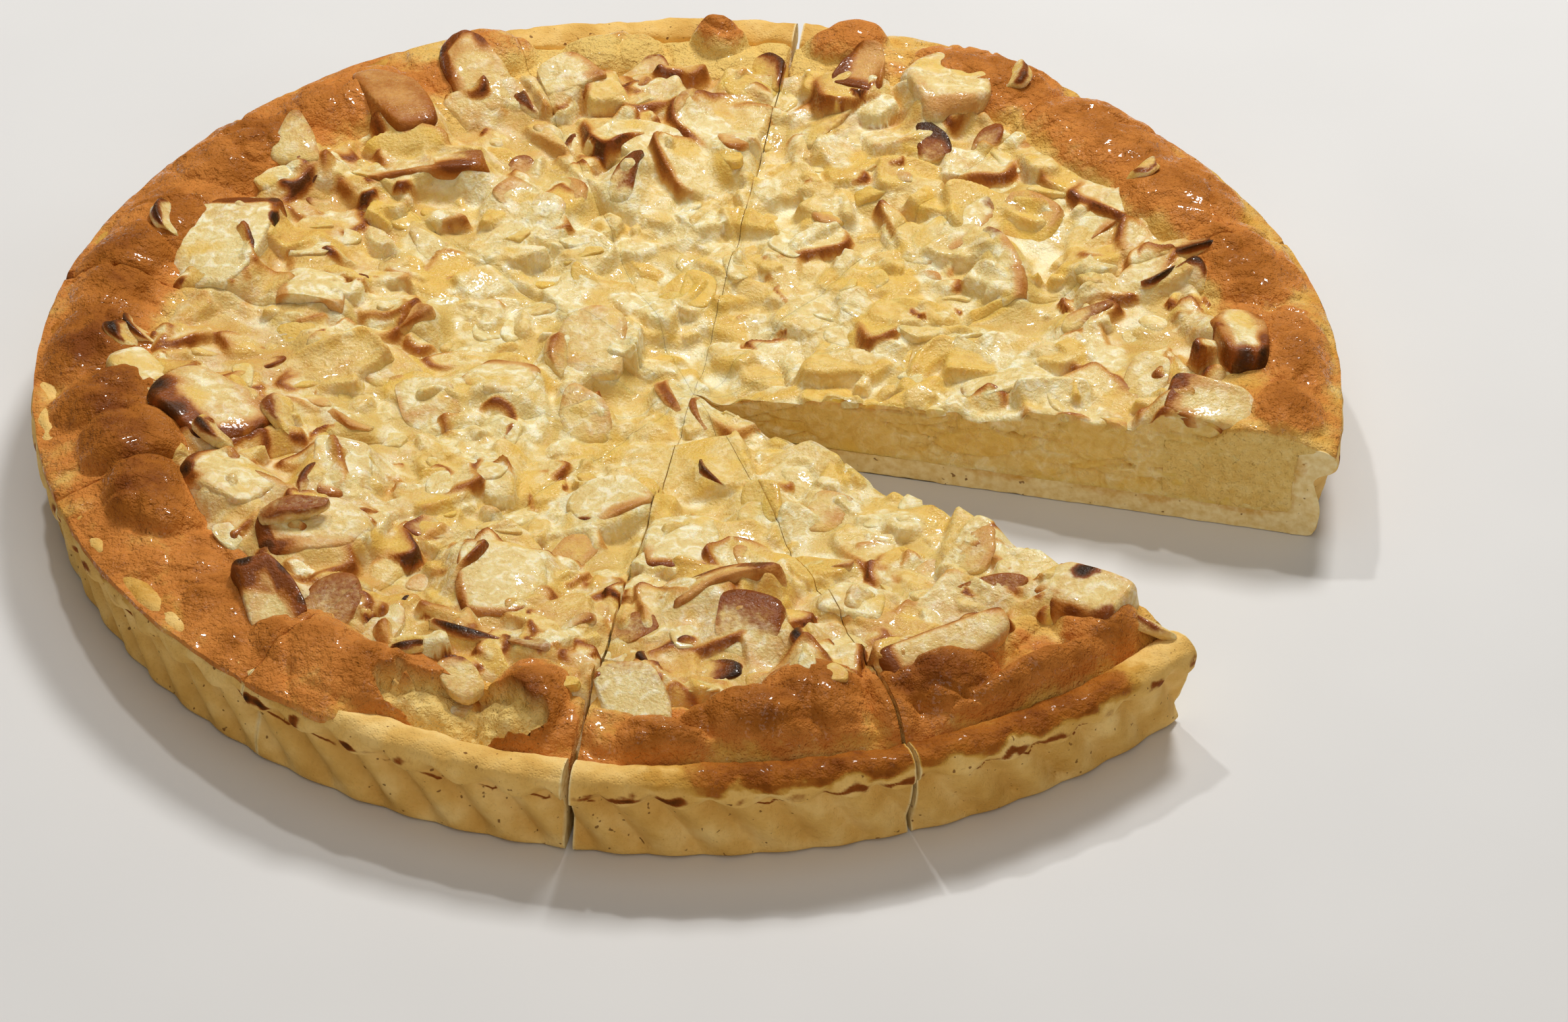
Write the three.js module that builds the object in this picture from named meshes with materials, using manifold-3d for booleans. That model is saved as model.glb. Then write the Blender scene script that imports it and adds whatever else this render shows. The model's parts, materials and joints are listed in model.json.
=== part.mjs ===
// Apple pie, cut across the middle into twelve slices, with one slice taken out.
// Millimetres, +Z up. The origin is on the pie's axis, where the base meets the table.
// +X runs to the right and +Y to the back when the open wedge is at the right front.
//
// Every slice has three layers, each a closed solid: the short crust (floor, fluted wall and folded
// rim), a ring of risen batter beside and over the rim, and the dished apple filling. The largest
// pieces of apple stand out of the filling as solids of their own.

import * as THREE from 'three';
import { mergeVertices } from 'three/addons/utils/BufferGeometryUtils.js';
import Module from 'manifold-3d';

const wasm = await Module();
wasm.setup();

// ---------------------------------------------------------------- driving dimensions

const RIM_RADIUS = 140; // outermost edge of the folded rim
const BASE_RADIUS = 136.4; // outside of the wall, on the table
const RIM_HEIGHT = 22.4; // mean top of the folded rim
const RIM_RIDGE_RADIUS = 136.5; // where the rim is highest
const RIM_WIDTH = 9.2; // how far the fold reaches inwards
const FLOOR_THICKNESS = 5; // bottom crust
const WALL_THICKNESS = BASE_RADIUS - (RIM_RADIUS - RIM_WIDTH - 0.4);
const RIM_WAVE = 0.7; // rise and fall of the rim around the pie

const FLUTES = 76; // pleats pressed into the wall, all the way round
const FLUTE_DEPTH = 1.1;
const FLUTE_LEAN = 0.35; // radians of the wave by which a pleat leans for each millimetre down
const STEPS_PER_FLUTE = 2;

const BATTER_INNER_RADIUS = 110; // mean line where batter gives way to apple
const BATTER_CREST_HEIGHT = 28.2; // mean top of the risen batter
const BATTER_SHORT_REACH = 132.8; // radius it reaches where the rim is left bare
const BATTER_FULL_REACH = 138.6; // radius it reaches where it has run over the rim

const FILLING_EDGE_HEIGHT = 24.4; // the apple next to the batter
const FILLING_CENTRE_HEIGHT = 13; // the sunken middle

const CLEARANCE = 0.3; // gap between solids that touch
const RING_STEPS = 48; // facets around the batter and filling

// Straight strokes of the knife across the middle, as the direction of one end of each.
const KNIFE_CENTRE = new THREE.Vector2(1, 2);
const KNIFE_STROKES = [-12.2, 21.0, 51.3, 80.7, 109.6, 138.1];
const KNIFE_GAP = 0.8; // width of a cut
// Two of the twelve half cuts have opened further at the rim: cut number and extra width there.
const OPENED_CUTS = new Map([[3, 1.1], [9, 0.9]]);
const SLICES_LEFT = 11; // the twelfth, between the last cut and the first, has been taken out

const radians = THREE.MathUtils.degToRad;
const lerp = THREE.MathUtils.lerp;
const FULL_TURN = 2 * Math.PI;

// ---------------------------------------------------------------- materials

const crustMaterial = new THREE.MeshStandardMaterial({ color: 0xe6c489, roughness: 0.8, metalness: 0 });
const batterMaterial = new THREE.MeshStandardMaterial({ color: 0xc47f35, roughness: 0.45, metalness: 0 });
const fillingMaterial = new THREE.MeshStandardMaterial({ color: 0xe7c877, roughness: 0.35, metalness: 0 });
const appleMaterial = new THREE.MeshStandardMaterial({ color: 0xf0dca2, roughness: 0.35, metalness: 0 });

// ---------------------------------------------------------------- shape functions

// Slow waves around the pie, between -1 and 1. They are zero at 0, 90, 180 and 270 degrees, so that
// the outer box keeps its centre on the axis.
function ringWave(angle, turns, phase) {
  return Math.sin(2 * angle) * Math.sin(turns * angle + phase);
}

// Uneven bumps in the plane, between about -1 and 1.
function bumps(x, y) {
  const broad = Math.sin(0.16 * x + 1.3) * Math.sin(0.19 * y + 0.4);
  const fine = Math.sin(0.37 * x - 0.23 * y + 2.1);
  return 0.6 * broad + 0.4 * fine;
}

// Height of the rim's top at a radius: it falls on both sides of a ridge, and waves a little.
function rimTop(radius, angle) {
  const fromRidge = radius - RIM_RIDGE_RADIUS;
  const fall = fromRidge > 0 ? 0.4 * fromRidge : -0.36 * fromRidge;
  return RIM_HEIGHT - fall + RIM_WAVE * ringWave(angle, 5, 0.8);
}

// 1 where the batter has run right over the rim, 0 where the rim is bare: at the front, between
// about 225 and 322 degrees, and along a stretch at the back.
function rimCover(angle) {
  const away = (centre) => Math.abs(Math.atan2(Math.sin(angle - centre), Math.cos(angle - centre)));
  const front = THREE.MathUtils.smoothstep(away(radians(273)), radians(42), radians(58));
  const back = THREE.MathUtils.smoothstep(away(radians(92)), radians(13), radians(22));
  return Math.min(front, back);
}

function batterInner(angle) {
  return BATTER_INNER_RADIUS + 3 * Math.sin(5 * angle + 1) + 2 * Math.sin(11 * angle);
}

function fillingTop(x, y) {
  const radius = Math.hypot(x, y);
  const dish = Math.pow(radius / BATTER_INNER_RADIUS, 0.9);
  return lerp(FILLING_CENTRE_HEIGHT, FILLING_EDGE_HEIGHT, dish) + bumps(x, y);
}

// ---------------------------------------------------------------- solids

// A closed solid turned about the axis, whose section may change with the angle. section(angle)
// gives the same number of [radius, height] points each time; they run upwards on the outside.
function turnedSolid(section, steps) {
  const count = section(0).length;
  const outline = section(0).map(([radius, height]) => new THREE.Vector2(radius, height));
  outline.push(outline[0].clone());
  const geometry = new THREE.LatheGeometry(outline, steps);
  const position = geometry.attributes.position;
  for (let step = 0; step <= steps; step++) {
    const angle = (FULL_TURN * (step % steps)) / steps;
    const points = section(angle);
    for (let index = 0; index <= count; index++) {
      const [radius, height] = points[index % count];
      const vertex = step * (count + 1) + index;
      position.setXYZ(vertex, radius * Math.cos(angle), radius * Math.sin(angle), height);
    }
  }
  return toManifold(geometry);
}

function toManifold(geometry) {
  const bare = geometry.clone();
  bare.deleteAttribute('normal');
  bare.deleteAttribute('uv');
  const merged = mergeVertices(bare, 1e-4);
  const source = merged.index.array;
  const triangles = [];
  for (let start = 0; start < source.length; start += 3) {
    const [a, b, c] = source.slice(start, start + 3);
    if (a !== b && b !== c && c !== a) triangles.push(a, b, c);
  }
  return new wasm.Manifold(new wasm.Mesh({
    numProp: 3,
    vertProperties: new Float32Array(merged.attributes.position.array),
    triVerts: new Uint32Array(triangles),
  }));
}

function toGeometry(solid) {
  const mesh = solid.getMesh();
  const geometry = new THREE.BufferGeometry();
  geometry.setAttribute('position', new THREE.BufferAttribute(mesh.vertProperties, 3));
  geometry.setIndex(new THREE.BufferAttribute(mesh.triVerts, 1));
  geometry.computeVertexNormals();
  return geometry;
}

// The fluted wall with its folded rim.
function wallSection(angle) {
  const inner = BASE_RADIUS - WALL_THICKNESS;
  const lipEdge = 18.2;
  const fluted = (radius, height, depth) => {
    const wave = Math.cos(FLUTES * angle + FLUTE_LEAN * (height - lipEdge));
    return [radius - 0.5 * depth * (1 - wave), height];
  };
  return [
    fluted(BASE_RADIUS, 0, 0.8 * FLUTE_DEPTH),
    fluted(BASE_RADIUS + 0.7, 7, 1.3 * FLUTE_DEPTH),
    fluted(BASE_RADIUS + 1.8, 14, 1.3 * FLUTE_DEPTH),
    fluted(RIM_RADIUS, lipEdge, FLUTE_DEPTH),
    [RIM_RADIUS - 0.6, rimTop(RIM_RADIUS - 0.6, angle)],
    [RIM_RIDGE_RADIUS, rimTop(RIM_RIDGE_RADIUS, angle)],
    [RIM_RADIUS - RIM_WIDTH, rimTop(RIM_RADIUS - RIM_WIDTH, angle)],
    [inner, FLOOR_THICKNESS],
    [inner, 0],
  ];
}

function floorSection() {
  const overlap = BASE_RADIUS - WALL_THICKNESS / 2;
  return [[0, 0], [overlap, 0], [overlap, FLOOR_THICKNESS], [0, FLOOR_THICKNESS]];
}

function batterSection(angle) {
  const wallFace = BASE_RADIUS - WALL_THICKNESS - CLEARANCE - 0.1;
  const inner = batterInner(angle);
  const reach = lerp(BATTER_SHORT_REACH, BATTER_FULL_REACH, rimCover(angle));
  const crest = BATTER_CREST_HEIGHT + 1.2 * Math.sin(9 * angle + 2) + 0.8 * Math.sin(17 * angle);
  const above = (radius) => rimTop(radius, angle) + 2.5 * CLEARANCE;
  const foldEdge = RIM_RADIUS - RIM_WIDTH;
  const overRidge = Math.min(reach - 0.8, RIM_RIDGE_RADIUS);
  const innerTop = fillingTop(inner * Math.cos(angle), inner * Math.sin(angle));
  return [
    [inner, FLOOR_THICKNESS + CLEARANCE],
    [wallFace, FLOOR_THICKNESS + CLEARANCE],
    [wallFace, above(foldEdge)],
    [overRidge, above(overRidge)],
    [reach, above(reach)],
    [reach - 0.6, above(reach) + 1.6],
    [lerp(foldEdge, reach, 0.3) - 3, crest],
    [lerp(inner, foldEdge, 0.45), crest - 0.8],
    [inner, innerTop + 0.8],
  ];
}

function fillingSection(angle) {
  const edge = batterInner(angle) - CLEARANCE - 0.1;
  const top = (share) => {
    const radius = share * edge;
    return [radius, fillingTop(radius * Math.cos(angle), radius * Math.sin(angle))];
  };
  const bottom = FLOOR_THICKNESS + CLEARANCE;
  return [[0, bottom], [edge, bottom], top(1), top(0.8), top(0.55), top(0.28), top(0)];
}

// The prism that holds one slice, between cut `first` and the next one.
function sliceSector(first) {
  const side = (cut, sign) => {
    const stroke = KNIFE_STROKES[cut % KNIFE_STROKES.length];
    const opposite = cut >= KNIFE_STROKES.length ? 180 : 0;
    const opened = (OPENED_CUTS.get(cut) ?? 0) / 2 / RIM_RADIUS;
    return radians(stroke + opposite) + sign * opened;
  };
  const from = side(first, 1);
  const to = side(first + 1, -1);
  const half = (to - from) / 2;
  const middle = from + half;
  const toward = (angle, length) => new THREE.Vector2(Math.cos(angle), Math.sin(angle)).multiplyScalar(length);
  const apex = KNIFE_CENTRE.clone().add(toward(middle, KNIFE_GAP / 2 / Math.sin(half)));
  const far = 1.3 * RIM_RADIUS;
  const outline = new THREE.Shape([
    apex,
    apex.clone().add(toward(from, far)),
    apex.clone().add(toward(middle, far)),
    apex.clone().add(toward(to, far)),
  ]);
  const prism = new THREE.ExtrudeGeometry(outline, { depth: 60, bevelEnabled: false });
  prism.translate(0, 0, -10);
  return toManifold(prism);
}

// ---------------------------------------------------------------- pieces of apple

// The largest pieces. slice: which slice it is in; at: its middle; size: length, width, thickness;
// turn: heading of its length; tip: how far its far end is lifted; roll: how far its right side is
// lifted; taper: how much narrower its far end is; bow: how far its middle is arched up.
const PIECES = [
  { slice: 0, at: [117, 8, 22.6], size: [22, 14, 12], turn: 98, tip: -8, roll: 10, taper: 0.2, bow: 1 },
  { slice: 0, at: [111, -14, 22.2], size: [21, 14, 12], turn: -12, tip: -6, roll: 18, taper: 0.2, bow: 0 },
  { slice: 0, at: [69, 2, 16], size: [24, 15, 10], turn: 10, tip: 8, roll: 0, taper: 0.2, bow: 1 },
  { slice: 1, at: [69, 37, 17.5], size: [33, 12, 12], turn: 98, tip: 8, roll: -14, taper: 0.55, bow: 1 },
  { slice: 1, at: [57, 57, 17.4], size: [33, 11, 12], turn: 47, tip: 10, roll: 14, taper: -0.2, bow: 1 },
  { slice: 1, at: [91, 59, 20.5], size: [23, 8, 10], turn: 43, tip: 12, roll: 10, taper: -0.1, bow: 1 },
  { slice: 2, at: [55.5, 103, 22.5], size: [24, 20, 12], turn: 110, tip: -6, roll: 8, taper: 0.1, bow: 2 },
  { slice: 2, at: [37, 110, 22.5], size: [17, 14, 12], turn: 75, tip: 10, roll: 0, taper: 0.45, bow: 1 },
  { slice: 3, at: [-9, 84, 18.8], size: [25, 17, 10], turn: 160, tip: 8, roll: 6, taper: 0.2, bow: 1 },
  { slice: 3, at: [-31, 106, 21.6], size: [19, 14, 11], turn: 32, tip: 8, roll: 10, taper: 0.2, bow: 1 },
  { slice: 4, at: [-50, 107, 22.4], size: [26, 17, 11], turn: 118, tip: 12, roll: -6, taper: 0.3, bow: 1 },
  { slice: 4, at: [-68, 94.5, 22.6], size: [28, 15, 13], turn: 116, tip: -2, roll: 8, taper: 0.15, bow: 1 },
  { slice: 4, at: [-62, 72, 19.4], size: [34, 13, 12], turn: 12, tip: 4, roll: -6, taper: 0.1, bow: 1 },
  { slice: 5, at: [-102, 38, 21.8], size: [40, 22, 12], turn: 84, tip: 3, roll: -6, taper: -0.1, bow: 0 },
  { slice: 5, at: [-82, 24, 19.4], size: [18, 17, 11], turn: 100, tip: -4, roll: 6, taper: 0.1, bow: 1 },
  { slice: 6, at: [-101, -21, 21.6], size: [27, 24, 13], turn: 130, tip: 10, roll: 10, taper: 0.15, bow: 1 },
  { slice: 6, at: [-41, -1, 15], size: [19, 16, 11], turn: -15, tip: 4, roll: -4, taper: 0.2, bow: 1 },
  { slice: 7, at: [-96, -45.5, 21], size: [21, 18, 12], turn: -35, tip: -6, roll: -8, taper: 0.1, bow: 1 },
  { slice: 7, at: [-72, -38, 18.6], size: [20, 15, 12], turn: 85, tip: 5, roll: 6, taper: 0.05, bow: 0 },
  { slice: 7, at: [-76, -61.5, 21], size: [26, 18, 12], turn: 8, tip: -4, roll: 8, taper: 0.15, bow: 1 },
  { slice: 7, at: [-83.5, -85.5, 22.6], size: [25, 14, 12], turn: 112, tip: 16, roll: -4, taper: 0.2, bow: 0 },
  { slice: 8, at: [-37, -76, 19.6], size: [24, 20, 12], turn: 98, tip: 4, roll: 4, taper: 0.05, bow: 0 },
  { slice: 8, at: [-15, -44, 16], size: [19, 16, 11], turn: 30, tip: 6, roll: 0, taper: 0.1, bow: 1 },
  { slice: 9, at: [-1, -60, 17.4], size: [24, 17, 11], turn: 82, tip: -3, roll: 4, taper: -0.1, bow: 0 },
  { slice: 9, at: [9, -78, 21.4], size: [26, 9, 11], turn: 24, tip: 8, roll: -16, taper: -0.15, bow: 1 },
  { slice: 10, at: [53, -98, 23], size: [29, 14, 12], turn: 24, tip: 6, roll: 18, taper: 0.1, bow: 1 },
  { slice: 10, at: [82, -82, 22.4], size: [20, 17, 12], turn: -35, tip: 4, roll: 8, taper: 0.1, bow: 1 },
];
const PIECE_ROUNDING = 0.38; // 0 is a plain block, 1 is an egg
const PIECE_FACETS = 2; // facets along each side

// One chunk of apple, grown on every side by `margin`.
function chunk(piece, margin) {
  const [length, width, thickness] = piece.size;
  const geometry = new THREE.BoxGeometry(2, 2, 2, PIECE_FACETS, PIECE_FACETS, PIECE_FACETS);
  const position = geometry.attributes.position;
  const point = new THREE.Vector3();
  for (let index = 0; index < position.count; index++) {
    point.fromBufferAttribute(position, index);
    const egg = point.clone().normalize();
    point.lerp(egg, PIECE_ROUNDING);
    const narrowed = 1 - (piece.taper * (point.x + 1)) / 2;
    const arched = piece.bow * (1 - point.x * point.x);
    position.setXYZ(
      index,
      point.x * (length / 2 + margin),
      point.y * (narrowed * (width / 2) + margin),
      point.z * (thickness / 2 + margin) + arched,
    );
  }
  const pose = new THREE.Euler(radians(piece.roll), -radians(piece.tip), radians(piece.turn), 'ZYX');
  geometry.applyMatrix4(new THREE.Matrix4().makeRotationFromEuler(pose));
  geometry.translate(...piece.at);
  return toManifold(geometry);
}

// ---------------------------------------------------------------- assembly

const crust = turnedSolid(wallSection, FLUTES * STEPS_PER_FLUTE).add(turnedSolid(floorSection, RING_STEPS));
const batter = turnedSolid(batterSection, RING_STEPS);
const filling = turnedSolid(fillingSection, RING_STEPS);

const pie = new THREE.Group();

function addNode(name, solid, material) {
  const mesh = new THREE.Mesh(toGeometry(solid), material);
  mesh.name = name;
  pie.add(mesh);
}

const numbered = (kind, number) => `${kind}_${String(number + 1).padStart(2, '0')}`;

for (let slice = 0; slice < SLICES_LEFT; slice++) {
  const sector = sliceSector(slice);
  const pieces = PIECES.filter((piece) => piece.slice === slice);
  const pockets = pieces.map((piece) => chunk(piece, CLEARANCE + 0.1));
  const hollowed = (layer) => pockets.reduce((solid, pocket) => solid.subtract(pocket), layer.intersect(sector));
  addNode(numbered('crust', slice), crust.intersect(sector), crustMaterial);
  addNode(numbered('batter', slice), hollowed(batter), batterMaterial);
  addNode(numbered('filling', slice), hollowed(filling), fillingMaterial);
  for (const piece of pieces) {
    addNode(numbered('apple', PIECES.indexOf(piece)), chunk(piece, 0).intersect(sector), appleMaterial);
  }
}

export default pie;
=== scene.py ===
"""An open apple pie, cut in twelve with one slice taken out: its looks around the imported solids.

Shapes are worked out in millimetres and written as metres. The origin is on the pie's axis, on the
table. Headings are measured anticlockwise from +X.
"""

from __future__ import annotations

import json
import logging
import math
from collections.abc import Sequence
from dataclasses import dataclass, field
from enum import Enum
from typing import ClassVar

import bmesh
import bpy
import numpy as np
from mathutils import Matrix, Vector

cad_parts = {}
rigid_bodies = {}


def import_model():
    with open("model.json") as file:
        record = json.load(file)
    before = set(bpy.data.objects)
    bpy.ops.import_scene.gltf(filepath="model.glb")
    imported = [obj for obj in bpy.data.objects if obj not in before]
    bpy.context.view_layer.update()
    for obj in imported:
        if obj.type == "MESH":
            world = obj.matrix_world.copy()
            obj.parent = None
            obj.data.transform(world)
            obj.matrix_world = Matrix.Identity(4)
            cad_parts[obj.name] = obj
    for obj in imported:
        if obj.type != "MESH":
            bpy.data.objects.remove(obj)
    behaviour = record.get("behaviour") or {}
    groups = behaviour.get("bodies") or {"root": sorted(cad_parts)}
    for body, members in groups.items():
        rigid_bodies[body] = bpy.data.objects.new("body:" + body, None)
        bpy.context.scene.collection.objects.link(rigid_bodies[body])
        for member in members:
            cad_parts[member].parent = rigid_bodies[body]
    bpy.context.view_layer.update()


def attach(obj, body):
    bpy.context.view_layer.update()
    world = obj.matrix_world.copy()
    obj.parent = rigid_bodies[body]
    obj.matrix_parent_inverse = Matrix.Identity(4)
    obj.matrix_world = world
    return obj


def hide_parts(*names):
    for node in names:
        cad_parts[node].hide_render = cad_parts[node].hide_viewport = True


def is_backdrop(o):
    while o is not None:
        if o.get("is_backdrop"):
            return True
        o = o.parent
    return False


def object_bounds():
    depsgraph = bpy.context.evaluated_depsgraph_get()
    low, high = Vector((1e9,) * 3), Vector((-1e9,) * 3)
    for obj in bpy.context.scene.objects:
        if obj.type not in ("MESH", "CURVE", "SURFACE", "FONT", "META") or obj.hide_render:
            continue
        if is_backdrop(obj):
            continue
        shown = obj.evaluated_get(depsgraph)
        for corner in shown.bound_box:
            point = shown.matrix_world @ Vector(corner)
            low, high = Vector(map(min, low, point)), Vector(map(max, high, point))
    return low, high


LOG = logging.getLogger("apple_pie")

MM = 0.001
ROOT = "root"

Array = np.ndarray
Rgb = tuple[float, float, float]
Values = dict[str, Array]
Cells = tuple[int, int, int]
Mesh = bpy.types.Mesh
Piece = bpy.types.Object
Socket = bpy.types.NodeSocket


class Slot(Enum):
    """The record's material slots."""

    CRUST = "crust"
    BATTER = "batter"
    FILLING = "filling"
    APPLE = "apple"


# --- numbers and noise


def smoothstep(low: float, high: float, value: Array) -> Array:
    """Ease from 0 to 1 as a value goes from low to high, which may be the lower one."""
    share = np.clip((value - low) / (high - low), 0, 1)
    return share * share * (3 - 2 * share)


def lerp(start: Array | float, end: Array | float, share: Array | float) -> Array | float:
    """Mix two values by a share of the second."""
    return start + (end - start) * share


def in_piece(dx: Array, dy: Array, turn: float, half: Sequence[float],
             warp: Sequence[Array]) -> tuple[Array, Array]:
    """Where points are in a turned and warped piece, as shares of its half length and half width.

    Args:
        dx: Distance from its middle along the first axis, in millimetres.
        dy: The same along the second axis.
        turn: Its heading, in radians.
        half: Its half length and half width.
        warp: What is added to each share.
    """
    along = (dx * math.cos(turn) + dy * math.sin(turn)) / half[0] + warp[0]
    across = (dy * math.cos(turn) - dx * math.sin(turn)) / half[1] + warp[1]
    return along, across


def strewn(rng: np.random.Generator, inner: float, outer: float) -> tuple[float, float]:
    """A random place in the ring between two radii around the axis."""
    radius = inner + (outer - inner) * math.sqrt(rng.random())
    heading = 2 * math.pi * rng.random()
    return radius * math.cos(heading), radius * math.sin(heading)


def away(heading: Array, centre: float) -> Array:
    """Angle between headings and a centre given in degrees, the short way round, in degrees."""
    return np.abs((np.degrees(heading) - centre + 180) % 360 - 180)


class Noise:
    """Smooth random bumps between about -1 and 1, the same for the same seed.

    They repeat after LATTICE bumps. RING is the radius of a ring of noise, in millimetres.
    """

    LATTICE = 64
    RING = 60

    def __init__(self, seed: int) -> None:
        """Fill the lattice of random values."""
        values = np.random.default_rng(seed).random((self.LATTICE,) * 3)
        self.table = values * 2 - 1

    def at(self, x: Array, y: Array, z: Array | float, grain: float) -> Array:
        """Noise at points.

        Args:
            x: First coordinates, in millimetres.
            y: Second coordinates.
            z: Third coordinates.
            grain: Size of one bump, in millimetres.

        Returns:
            One value for each point.
        """
        points = np.stack(np.broadcast_arrays(x, y, z), axis=-1) / grain
        cell = np.floor(points).astype(int)
        ease = points - cell
        ease = ease * ease * (3 - 2 * ease)
        low = cell % self.LATTICE
        high = (cell + 1) % self.LATTICE
        total = 0
        for corner in range(8):
            pick = [(corner >> axis) & 1 for axis in range(3)]
            index = [high[..., axis] if pick[axis] else low[..., axis] for axis in range(3)]
            weight = 1
            for axis in range(3):
                weight = weight * (ease[..., axis] if pick[axis] else 1 - ease[..., axis])
            total = total + weight * self.table[index[0], index[1], index[2]]
        return total

    def layered(self, x: Array, y: Array, z: Array | float, grain: float, layers: int = 3) -> Array:
        """Noise with finer and weaker layers added.

        Args:
            x: First coordinates, in millimetres.
            y: Second coordinates.
            z: Third coordinates.
            grain: Size of the broadest bump, in millimetres.
            layers: How many layers, each half the size and height of the last.

        Returns:
            One value for each point, between about -1 and 1.
        """
        total = 0
        for layer in range(layers):
            total = total + 0.5**layer * self.at(x + 31.7 * layer, y, z, grain / 2**layer)
        return total / 1.5

    def around(self, heading: Array, layer: float, grain: float) -> Array:
        """Noise around a ring, which meets itself after a full turn."""
        return self.at(self.RING * np.cos(heading), self.RING * np.sin(heading), layer, grain)


def seeded(seed: int) -> Noise:
    """A dataclass field that holds noise of its own."""
    return field(default_factory=lambda: Noise(seed))


# --- the knife


@dataclass(frozen=True)
class Sector:
    """The plan of one slice, between two straight cuts.

    Attributes:
        first: Heading of its first cut, in radians.
        last: Heading of its second cut.
        apex: Where the two cut faces meet, in millimetres.

    Rings nearer to the axis than INNER, in millimetres, close in on the apex.
    """

    first: float
    last: float
    apex: tuple[float, float]

    INNER = 12

    def at(self, share: Array, radius: Array) -> tuple[Array, Array]:
        """Points of the slice, fanned out from its apex.

        Args:
            share: 0 on the first cut face, 1 on the second.
            radius: Distance from the pie's axis, in millimetres.

        Returns:
            The x and y coordinates.
        """
        heading = self.first + share * (self.last - self.first)
        dx, dy = np.cos(heading), np.sin(heading)
        held = np.maximum(radius, self.INNER)
        along = self.apex[0] * dx + self.apex[1] * dy
        offset = self.apex[0] ** 2 + self.apex[1] ** 2
        reach = -along + np.sqrt(along**2 + held**2 - offset)
        reach = reach * np.minimum(radius / self.INNER, 1)
        return self.apex[0] + dx * reach, self.apex[1] + dy * reach

    def inward(self, second: bool) -> Vector:
        """The direction that points from one cut face into the slice."""
        heading = self.last if second else self.first
        side = -1 if second else 1
        return Vector((-math.sin(heading) * side, math.cos(heading) * side, 0))

    def depth(self, x: Array, y: Array) -> Array:
        """How far inside both cut faces points are, in millimetres."""
        depths = []
        for second in (False, True):
            inward = self.inward(second)
            depths.append((x - self.apex[0]) * inward.x + (y - self.apex[1]) * inward.y)
        return np.minimum(*depths)

    def crease(self, x: Array, y: Array) -> Array:
        """How far the knife has rounded the top down along the cuts, in millimetres."""
        out = smoothstep(14, 60, np.hypot(x - self.apex[0], y - self.apex[1]))
        return 0.7 * out * np.exp(-((self.depth(x, y) / 0.8) ** 2))


@dataclass(frozen=True)
class Knife:
    """Six straight strokes across the middle, which leave twelve slices.

    Attributes:
        centre: Where the strokes cross, in millimetres.
        strokes: Heading of one end of each stroke, in degrees.
        gap: Width of a cut.
        opened: Extra width at the rim of the cuts that have opened, by number.
        left: How many slices are left.
        rim_radius: Where an opened cut has its extra width.
    """

    centre: tuple[float, float] = (1, 2)
    strokes: tuple[float, ...] = (-12.2, 21, 51.3, 80.7, 109.6, 138.1)
    gap: float = 0.12
    opened: dict[int, float] = field(default_factory=lambda: {3: 1.6, 9: 1.5, 10: 0.8})
    left: int = 11
    rim_radius: float = 140

    def heading(self, cut: int, side: int) -> float:
        """Heading of one face of a cut, in radians; side is 1 for the slice after it."""
        turned = 180 if cut >= len(self.strokes) else 0
        stroke = math.radians(self.strokes[cut % len(self.strokes)] + turned)
        return stroke + side * self.opened.get(cut, 0) / 2 / self.rim_radius

    def sector(self, number: int) -> Sector:
        """The plan of a slice, counted from 0."""
        first, last = self.heading(number, 1), self.heading(number + 1, -1)
        half = (last - first) / 2
        out = self.gap / 2 / math.sin(half)
        middle = first + half
        apex = (self.centre[0] + out * math.cos(middle), self.centre[1] + out * math.sin(middle))
        return Sector(first, last, apex)

    def sectors(self) -> list[Sector]:
        """The plans of all slices that are left."""
        return [self.sector(number) for number in range(self.left)]

    def exposed(self, number: int) -> tuple[bool, bool]:
        """Whether each cut face of a slice shows at the open wedge."""
        return number == 0, number == self.left - 1


# --- the pie's form


@dataclass(frozen=True)
class Lump:
    """A swelling of risen batter.

    Attributes:
        heading: Its direction from the axis, in degrees.
        radius: Its distance from the axis, in millimetres.
        along: Half its length around the pie.
        across: Half its width towards the axis.
        rise: Its height over the ring.
        bake: How much browner it is than the ring.
    """

    heading: float
    radius: float
    along: float
    across: float
    rise: float
    bake: float

    def at(self, x: Array, y: Array, ragged: Array | float = 0) -> Array:
        """How strongly the lump is felt at points, from 0 to 1.

        Args:
            x: First coordinates, in millimetres.
            y: Second coordinates.
            ragged: Unevenness of its outline.

        Returns:
            One value for each point.
        """
        middle = math.radians(self.heading)
        outward = x * math.cos(middle) + y * math.sin(middle) - self.radius
        aside = -x * math.sin(middle) + y * math.cos(middle)
        spread = (aside / self.along) ** 2 + (outward / self.across) ** 2 + ragged
        return np.clip(1 - 0.8 * spread, 0, 1) ** 0.65


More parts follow.
